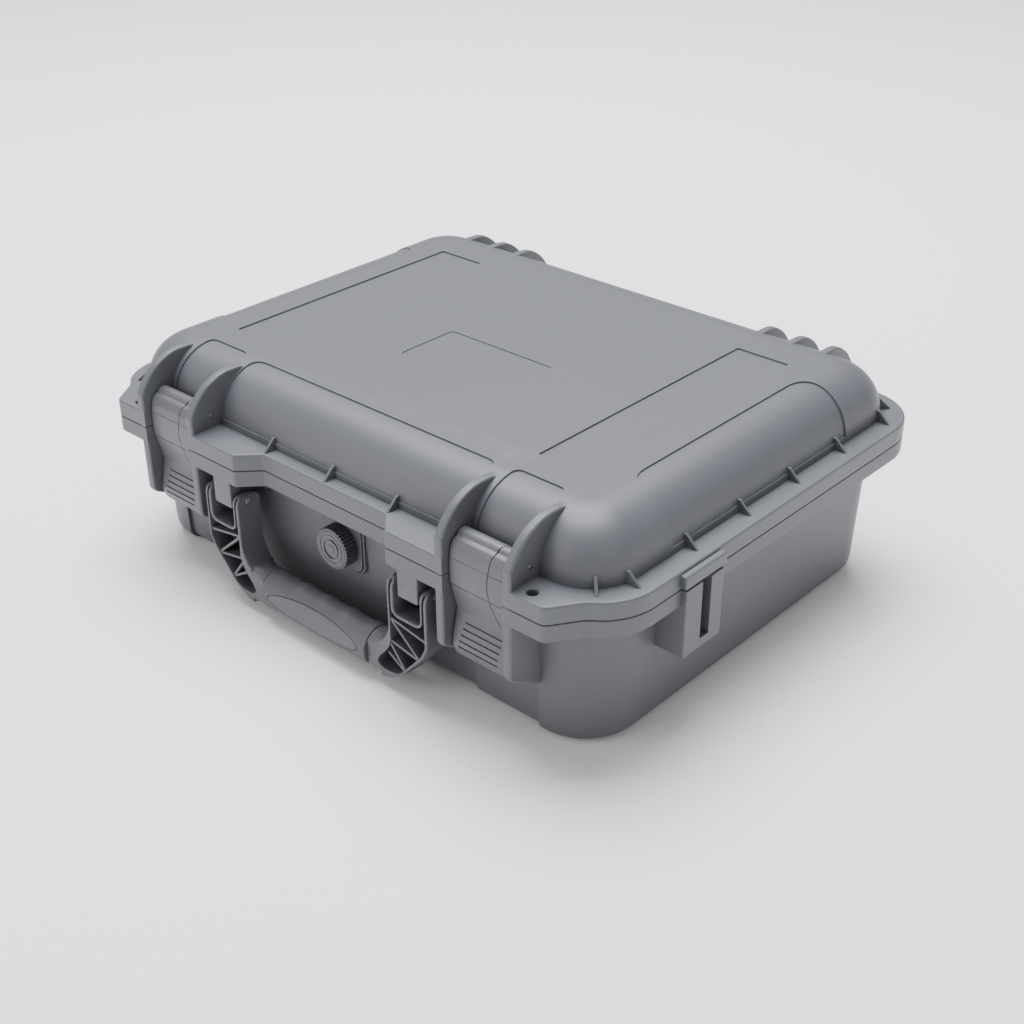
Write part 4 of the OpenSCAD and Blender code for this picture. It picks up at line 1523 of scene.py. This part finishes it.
    def build(self) -> None:
        """Builds the handle."""
        self.frame()
        grip = cut(self.sleeve(), [self.oval(0.42, self.grip_r - 1.6)])
        y, z, room = self.pivot[0], self.grip_z, self.bar_half + 0.1
        cut(grip, [box((-60, y - room, z - room), (60, y + room, z + room))])
        placed(dressed(grip, "grip_sleeve", self.palette.grip, 40), "handle", "grip_rubber", "handle_grip")
        inlay = combine(self.sleeve(), [self.oval(-0.1, self.grip_r - 1.5)], "INTERSECT")
        placed(dressed(inlay, "grip_oval", self.palette.handle, 40), "handle", "grip_rubber", "grip_inlay")


# ---------------------------------------------------------------- latches


@dataclass
class Latch:
    """One draw latch's lever, with its flap, seam and finger grooves."""

    sizes: CaseSizes
    palette: Palette
    side: Side
    lever_wall: float = 2.8
    soft: float = 1.5
    seam: float = 0.55
    groove_count: int = 5
    groove_pitch: float = 4.0

    def __post_init__(self) -> None:
        """Reads the latch's places from the frame."""
        node = f"latch_{self.side.label}"
        low, high = node_box(f"{node}_lever")
        self.x = (low.x + high.x) / 2
        self.half = (high.x - low.x) / 2
        self.foot = low.z
        self.pin = side_centre(f"{node}_lever_pin")
        self.claw_pin = side_centre(f"{node}_claw_pin")

    def profile(self) -> list[Point]:
        """The lever seen from the side.

        Returns:
            The outline as y and z.
        """
        y, z = self.sizes.bay_y, self.sizes.part_z
        face = smooth_line([(y - 9.8, self.foot), (y - 12, z - 45.6), (y - 11.7, z - 40), (y - 9.8, z - 31),
                            (y - 8.4, z - 24.5), (y - 8.7, z - 21), (y - 12.4, z - 6.4), (y - 13.2, z + 2),
                            (y - 12.9, z + 9.5)], 5)
        crown = filleted([(y - 12.9, z + 9.5), (y - 11.9, z + 16), (y - 9.9, z + 20.6), (y - 2, z + 22.9),
                          (y - 1, z + 14)], [0, 3, 4.5, 1.5, 0], 6)
        return face + crown[1:] + [(y - 3.4, z + 12), (y - 3.4, z - 38), (y - 7, self.foot)]

    def body_solid(self, depth: float) -> bpy.types.Object:
        """The lever's outer form.

        Args:
            depth: How far inside its face the form lies.

        Returns:
            A loose solid.
        """
        half = self.half - depth
        outline = inset(anticlockwise(without_doubles(self.profile())), depth) if depth else self.profile()
        return block(outline, Axis.X, self.x - half, self.x + half, 0.0 if depth else self.soft)

    def engraved(self, path: list[Point], width: float, depth: float) -> bpy.types.Object:
        """A cutter that sinks a line into the lever's face.

        Args:
            path: The line as x from the lever's middle and z.
            width: Its width.
            depth: Its depth.

        Returns:
            A loose solid.
        """
        line = ribbon([(self.x + px, pz) for px, pz in path], width)
        wall = block(line, Axis.Y, self.sizes.guard_y - 5, self.sizes.bay_y - 4.5)
        return cut(wall, [self.body_solid(depth)])

    def lever(self) -> bpy.types.Object:
        """Builds the lever.

        Returns:
            The finished piece.
        """
        z = self.sizes.part_z
        lever = self.body_solid(0)
        union(lever, [rod(Axis.X, self.pin, 5.25, self.x - self.half, self.x + self.half, 0.8)])
        left, right, foot = self.x - self.half - 1, self.x + self.half + 1, self.foot - 0.3
        front = filleted([(left, foot), (right, foot), (right, z + 40), (left, z + 40)], [7, 7, 0, 0])
        combine(lever, [block(front, Axis.Y, self.sizes.guard_y - 20, self.sizes.bay_y + 30)], "INTERSECT")
        y = self.sizes.bay_y
        room = [(y - 13.3 + self.lever_wall, z + 13), (y - 13.3 + self.lever_wall, z - 4),
                (y - 8.7 + self.lever_wall, z - 20), (y - 8.4 + self.lever_wall, z - 30), (y + 3, z - 30),
                (y + 3, z + 13)]
        inner = self.half - self.lever_wall
        cut(lever, [block(room, Axis.X, self.x - inner, self.x + inner)])
        seam = smooth_line([(12.2, z - 22.4), (10.4, z - 17.4), (8.8, z - 10.7), (8.0, z - 4.7), (7.0, z + 3),
                            (7.6, z + 11.6), (8.1, z + 18), (8.9, z + 21.5), (8.9, z + 24)], 5)
        grooves = [self.engraved(seam, self.seam, 0.8)]
        grooves += [self.engraved([(-30, z + 10.5), (30, z + 10.5)], 0.5, 0.22),
                    self.engraved([(-30, z - 6.2), (30, z - 6.2)], 0.5, 0.3)]
        for i in range(self.groove_count):
            level, start = z - 29.5 - self.groove_pitch * i, -12.5 - 0.9 * i
            path = [(start, level), (14.5 - 0.4 * i, level)]
            grooves.append(self.engraved(path, 1.15, 0.75))
        over = smooth_line([(self.x + 8.7, y - 12), (self.x + 8.6, y - 5.5), (self.x + 10.7, y - 1.6),
                            (self.x + 14.4, y + 0.8), (self.x + 22, y + 2)], 5)
        crest = block(ribbon(over, self.seam), Axis.Z, z + 20.8, z + 30)
        core = rod(Axis.X, self.pin, 4.6, self.x - 30, self.x + 30)
        grooves.append(cut(crest, [self.body_solid(0.7), core]))
        cut(lever, grooves)
        cut(lever, [rod(Axis.X, p, 1.6, self.x - 40, self.x + 40) for p in (self.pin, self.claw_pin)])
        name = f"latch_{self.side.label}"
        dressed(lever, f"{name}_moulding", self.palette.latch, 30)
        return placed(lever, name, "latch_plastic", f"{name}_lever")

    def build(self) -> None:
        """Builds the latch."""
        self.lever()


# ---------------------------------------------------------------- valve


@dataclass
class Valve:
    """The knurled knob of the air valve."""

    palette: Palette
    ridges: int = 38
    ridge_h: float = 1.15
    face_in: float = 1.7
    slot_in: tuple[float, float] = (6.6, 7.9)
    slot_starts: tuple[int, int] = (15, 195)
    slot_turn: int = 75
    button_r: float = 2.7

    def build(self) -> None:
        """Builds the knob."""
        low, high = node_box("valve_knob")
        centre = front_centre("valve_knob")
        radius, front, back = (high.x - low.x) / 2, low.y, high.y
        turns = [2 * math.pi * i / (self.ridges * 6) for i in range(self.ridges * 6)]
        rim = [(centre[0] + r * math.cos(t), centre[1] + r * math.sin(t)) for t, r in
               ((t, radius - self.ridge_h * (0.5 + 0.5 * math.cos(self.ridges * t))) for t in turns)]
        knob = block(rim, Axis.Y, front + 0.4, back)
        face = stack(circle(centre, radius - self.face_in, 64), Axis.Y,
                     [(front, 0.5), (front + 0.4, 0.0), (front + 3, 0.0)])
        union(knob, [face])
        ring = block(circle(centre, radius - 4.0, 64), Axis.Y, front - 1, front + 0.45)
        cut(ring, [block(circle(centre, radius - 4.5, 64), Axis.Y, front - 2, front + 1)])
        dish = block(circle(centre, radius - 7.0, 64), Axis.Y, front - 1, front + 0.5)
        hub = stack(circle(centre, radius - 7.7, 64), Axis.Y,
                    [(front - 2, 0.6), (front, 0.3), (front + 2, 0.0)])
        cut(dish, [hub])
        slots = []
        for start in self.slot_starts:
            wedge = [centre] + arc(centre, radius, start, start + self.slot_turn, 8)
            slot = block(circle(centre, radius - self.slot_in[0], 64), Axis.Y, front - 1, front + 2.4)
            cut(slot, [block(circle(centre, radius - self.slot_in[1], 64), Axis.Y, front - 2, front + 3)])
            slots.append(combine(slot, [block(wedge, Axis.Y, front - 3, front + 4)], "INTERSECT"))
        cut(knob, [ring, dish] + slots)
        button = stack(circle(centre, self.button_r, 40), Axis.Y,
                       [(front - 0.45, 0.5), (front - 0.05, 0.0), (front + 2, 0.0)])
        union(knob, [button])
        cut(knob, [rod(Axis.Y, centre, 6.5, back - 3.3, back + 1)])
        placed(dressed(knob, "valve_dial", self.palette.valve, 34), "knob", "valve_plastic", "valve_knob")


# ---------------------------------------------------------------- foams


@dataclass
class Foams:
    """The floor pad, the cut foam in the base and the egg-crate foam in the lid."""

    sizes: CaseSizes
    lid: Lid
    base: Base
    palette: Palette
    voxel: float = 3.0
    sag: float = 0.45
    crate_pitch: float = 27.0
    crate_h: float = 13.0
    skin_gap: float = 0.9
    pocket_grow: tuple[float, float] = (2.6, 2.8)

    def softened(self, piece: bpy.types.Object, name: str, node: str, body: str,
                 voxel: float) -> bpy.types.Object:
        """Turns a foam block into a soft piece with slightly uneven faces.

        Args:
            piece: The block in mm.
            name: The piece's name.
            node: The CAD node that it stands for.
            body: The body that it rides on.
            voxel: Size of its mesh's cells in mm.

        Returns:
            The finished piece.
        """
        low, high = node_box(node)
        remesh = piece.modifiers.new("remesh", "REMESH")
        remesh.mode = "VOXEL"
        remesh.voxel_size = voxel
        bpy.context.view_layer.update()
        bake_modifiers(piece)
        mesh = bmesh.new()
        mesh.from_mesh(piece.data)
        bmesh.ops.smooth_vert(mesh, verts=mesh.verts, factor=0.5, use_axis_x=True, use_axis_y=True,
                              use_axis_z=True)
        mesh.normal_update()
        for vert in mesh.verts:
            swell = noise.noise(vert.co * 0.035) + 0.5 * noise.noise(vert.co * 0.13)
            vert.co += vert.normal * (self.sag * swell)
            for i in range(3):
                vert.co[i] = min(max(vert.co[i], low[i]), high[i])
        mesh.to_mesh(piece.data)
        mesh.free()
        dressed(piece, name, self.palette.foam, 60)
        return placed(piece, body, "foam", node)

    def pockets(self) -> list[bpy.types.Object]:
        """Cutters for the pockets, each a little larger than the opening that the record states.

        Returns:
            Loose solids.
        """
        top = node_box("base_foam")[1].z
        grow_x, grow_y = self.pocket_grow
        levels = [(top - 3.5, 0.0), (top - 1.0, -0.8), (top + 0.2, -2.6), (top + 4, -2.6)]
        made = []
        for corners in self.openings("drone", "controller", "battery", "charger"):
            low, high = (Vector(corner) / MM for corner in corners)
            left, right = low.x - grow_x, high.x + grow_x
            front, back = low.y - grow_y, high.y + grow_y
            outline = filleted([(left, front), (right, front), (right, back), (left, back)], 14, 6)
            made.append(stack(outline, Axis.Z, [(low.z - 0.4, 1.5), (low.z + 1.2, 0.0)] + levels))
        return made

    @staticmethod
    def openings(*kinds: str) -> list[list[list[float]]]:
        """Picks openings that the record states.

        Args:
            kinds: First words of their names.

        Returns:
            The lowest and the highest corner of each, in metres.
        """
        stated = frame["record"]["physics"]["openings"]
        return [opening["box_m"] for opening in stated if opening["name"].split("_")[0] in kinds]

    def base_block(self) -> bpy.types.Object:
        """Builds the cut foam in the base.

        Returns:
            The finished piece.
        """
        s = self.sizes
        low, high = node_box("base_foam")
        foam = self.base.tray(s.wall + self.skin_gap, 0, s.base_top)
        keep = box((-s.half_w, s.guard_y, low.z + 0.3), (s.half_w, s.hinge_back, high.z - 0.2))
        combine(foam, [keep], "INTERSECT")
        cells = self.openings("battery")
        middle_y = 500 * (cells[0][0][1] + cells[0][1][1])
        first_x, last_x = 1000 * cells[0][0][0] + 6, 1000 * cells[-1][1][0] - 6
        scoops = [rod(Axis.X, (middle_y, high.z + 2), 13.0, first_x, last_x)]
        drone_low, drone_high = self.openings("drone")[0]
        middle_x, edge_y = 500 * (drone_low[0] + drone_high[0]), 1000 * drone_low[1] - 1
        scoops += [rod(Axis.Z, (x, edge_y), 12.0, high.z - 26, high.z + 5) for x in (-middle_x, middle_x)]
        cut(foam, self.pockets() + scoops)
        reach = node_box("valve_nut")[1].y + 6
        cut(foam, [rod(Axis.Y, front_centre("valve_nut"), 12.5, s.wall_front, reach)])
        return self.softened(foam, "base_foam_block", "base_foam", "base", self.voxel)

    def floor_sheet(self) -> bpy.types.Object:
        """Builds the pad on the base's floor.

        Returns:
            The finished piece.
        """
        s = self.sizes
        low, high = node_box("floor_pad")
        pad = self.base.tray(s.wall + self.skin_gap, 0, s.base_top)
        combine(pad, [box((-s.half_w, s.guard_y, low.z), (s.half_w, s.hinge_back, high.z))], "INTERSECT")
        return self.softened(pad, "floor_sheet", "floor_pad", "base", self.voxel)

    def egg_crate(self) -> bpy.types.Object:
        """Builds the lid's foam with rounded peaks that point down.

        Returns:
            The finished piece.
        """
        s = self.sizes
        low, high = node_box("lid_foam")
        foam = self.lid.dome(s.wall + self.skin_gap, low.z)
        mesh = bmesh.new()
        pitch = self.crate_pitch
        nx, ny = int((high.x - low.x) / 3) + 4, int((high.y - low.y) / 3) + 4
        grid = []
        for i in range(nx + 1):
            row = []
            for j in range(ny + 1):
                x = low.x - 5 + (high.x - low.x + 10) * i / nx
                y = low.y - 5 + (high.y - low.y + 10) * j / ny
                wave = 0.5 + 0.25 * (math.cos(2 * math.pi * x / pitch) + math.cos(2 * math.pi * y / pitch))
                rim = min(x - low.x, high.x - x, y - low.y, high.y - y)
                blend = min(max((rim - 7) / 8, 0.0), 1.0)
                row.append(mesh.verts.new((x, y, low.z + 0.5 + blend * self.crate_h * wave ** 1.2)))
            grid.append(row)
        for i in range(nx):
            for j in range(ny):
                mesh.faces.new((grid[i][j], grid[i + 1][j], grid[i + 1][j + 1], grid[i][j + 1]))
        edges = [e for e in mesh.edges if e.is_boundary]
        skirt = bmesh.ops.extrude_edge_only(mesh, edges=edges)["geom"]
        lower = [v for v in skirt if isinstance(v, bmesh.types.BMVert)]
        for vert in lower:
            vert.co.z = low.z - 20
        bmesh.ops.contextual_create(mesh, geom=[e for e in mesh.edges if e.is_boundary])
        bmesh.ops.recalc_face_normals(mesh, faces=mesh.faces)
        cut(foam, [loose_object(mesh, "crate")])
        return self.softened(foam, "lid_egg_crate", "lid_foam", "lid", self.voxel)

    def build(self) -> None:
        """Builds the three foams."""
        self.floor_sheet()
        self.base_block()
        self.egg_crate()


# ---------------------------------------------------------------- plain CAD parts


@dataclass
class CarriedParts:
    """CAD parts whose shape stays: pins, claws and the valve's inner pieces."""

    palette: Palette

    def dress(self, node: str, material: bpy.types.Material, soft: float = 0.0) -> None:
        """Gives a CAD part its material, and rounds its edges.

        Args:
            node: The CAD node.
            material: Its material.
            soft: Radius of its edges in mm, or 0 to leave them.
        """
        piece = frame["nodes"][node]
        piece.data.materials.clear()
        piece.data.materials.append(material)
        if soft:
            weld = piece.modifiers.new("weld", "WELD")
            weld.merge_threshold = 0.00001
            flat = piece.modifiers.new("flat", "DECIMATE")
            flat.decimate_type = "DISSOLVE"
            flat.angle_limit = math.radians(0.5)
            bevel = piece.modifiers.new("bevel", "BEVEL")
            bevel.width = soft * MM
            bevel.segments = 3
            bevel.angle_limit = math.radians(40)
            bevel.harden_normals = True
        LOG.info("%s dressed as %s", node, material.name)

    def build(self) -> None:
        """Dresses every carried part."""
        for side in Side:
            for pin in ("lever_pin", "claw_pin"):
                self.dress(f"latch_{side.label}_{pin}", self.palette.steel, 0.25)
            self.dress(f"latch_{side.label}_claw", self.palette.latch, 0.5)
            self.dress(f"handle_pin_{side.label}", self.palette.steel, 0.3)
            self.dress(f"hinge_pin_{side.label}", self.palette.steel, 0.3)
        self.dress("valve_body", self.palette.valve, 0.6)
        self.dress("valve_oring", self.palette.seal)
        self.dress("valve_membrane", self.palette.membrane)
        self.dress("valve_nut", self.palette.valve, 0.5)


# ---------------------------------------------------------------- studio


@dataclass
class Studio:
    """The camera, the soft lights and the pale floor."""

    place: tuple[float, float, float] = (0.5983, -0.6497, 0.5338)
    yaw: float = 42.30
    pitch: float = 30.14
    roll: float = -0.29
    lens: float = 54.0
    floor_half: float = 6.0
    floor_tone: float = 0.93
    sky_strength: float = 0.48

    def camera(self) -> None:
        """Sets up the camera."""
        yaw, pitch, roll = (math.radians(a) for a in (self.yaw, self.pitch, self.roll))
        back = Vector((math.sin(yaw) * math.cos(pitch), -math.cos(yaw) * math.cos(pitch), math.sin(pitch)))
        right = Vector((math.cos(yaw), math.sin(yaw), 0))
        up = back.cross(right)
        across = right * math.cos(roll) + up * math.sin(roll)
        above = up * math.cos(roll) - right * math.sin(roll)
        data = bpy.data.cameras.new("camera")
        data.lens = self.lens
        data.sensor_width = 36
        camera = bpy.data.objects.new("camera", data)
        axes = Matrix((across, above, back)).transposed().to_4x4()
        camera.matrix_world = Matrix.Translation(self.place) @ axes
        bpy.context.scene.collection.objects.link(camera)
        bpy.context.scene.camera = camera

    def lamp(self, name: str, place: Vector, size: float, power: float,
             tint: tuple[float, float, float] = (1.0, 1.0, 1.0)) -> None:
        """Adds one soft square lamp that faces the case.

        Args:
            name: Its name.
            place: Where it hangs.
            size: Its side in metres.
            power: Its power in watts.
            tint: Its colour.
        """
        data = bpy.data.lights.new(name, "AREA")
        data.size = size
        data.energy = power
        data.color = tint
        lamp = bpy.data.objects.new(name, data)
        lamp.location = place
        lamp.rotation_euler = (-place).to_track_quat("-Z", "Y").to_euler()
        bpy.context.scene.collection.objects.link(lamp)

    def floor(self) -> None:
        """Lays the floor."""
        mesh = bmesh.new()
        bmesh.ops.create_grid(mesh, x_segments=8, y_segments=8, size=self.floor_half)
        floor = loose_object(mesh, "floor")
        floor.location.z = -0.0005
        made = bpy.data.materials.new("floor_paper")
        made.use_nodes = True
        shader = made.node_tree.nodes["Principled BSDF"]
        shader.inputs["Base Color"].default_value = (self.floor_tone, self.floor_tone, self.floor_tone, 1.0)
        shader.inputs["Roughness"].default_value = 0.9
        shader.inputs["Specular IOR Level"].default_value = 0.1
        floor.data.materials.append(made)

    def build(self) -> None:
        """Sets up the whole studio."""
        self.camera()
        self.floor()
        self.lamp("key_lamp", Vector((-0.55, 0.45, 2.2)), 1.9, 150.0, (0.94, 0.965, 1.0))
        self.lamp("front_lamp", Vector((-0.9, -2.2, 1.0)), 1.6, 22.0)
        self.lamp("side_lamp", Vector((2.2, -0.4, 0.9)), 1.2, 6.0)
        world = bpy.data.worlds.new("studio_world")
        bpy.context.scene.world = world
        world.use_nodes = True
        sky = world.node_tree.nodes["Background"]
        sky.inputs["Color"].default_value = (1.0, 1.0, 1.0, 1.0)
        sky.inputs["Strength"].default_value = self.sky_strength


def main() -> None:
    """Builds the case and its studio."""
    logging.basicConfig(level=logging.INFO, format="%(name)s: %(message)s")
    Studio().build()
    palette = Palette()
    sizes = CaseSizes()
    lid, base = Lid(sizes, palette), Base(sizes, palette)
    latches = [Latch(sizes, palette, side) for side in Side]
    for part in [lid, base, Handle(palette), Valve(palette), Foams(sizes, lid, base, palette),
                 CarriedParts(palette)] + latches:
        part.build()


if __name__ == "__main__":
    main()
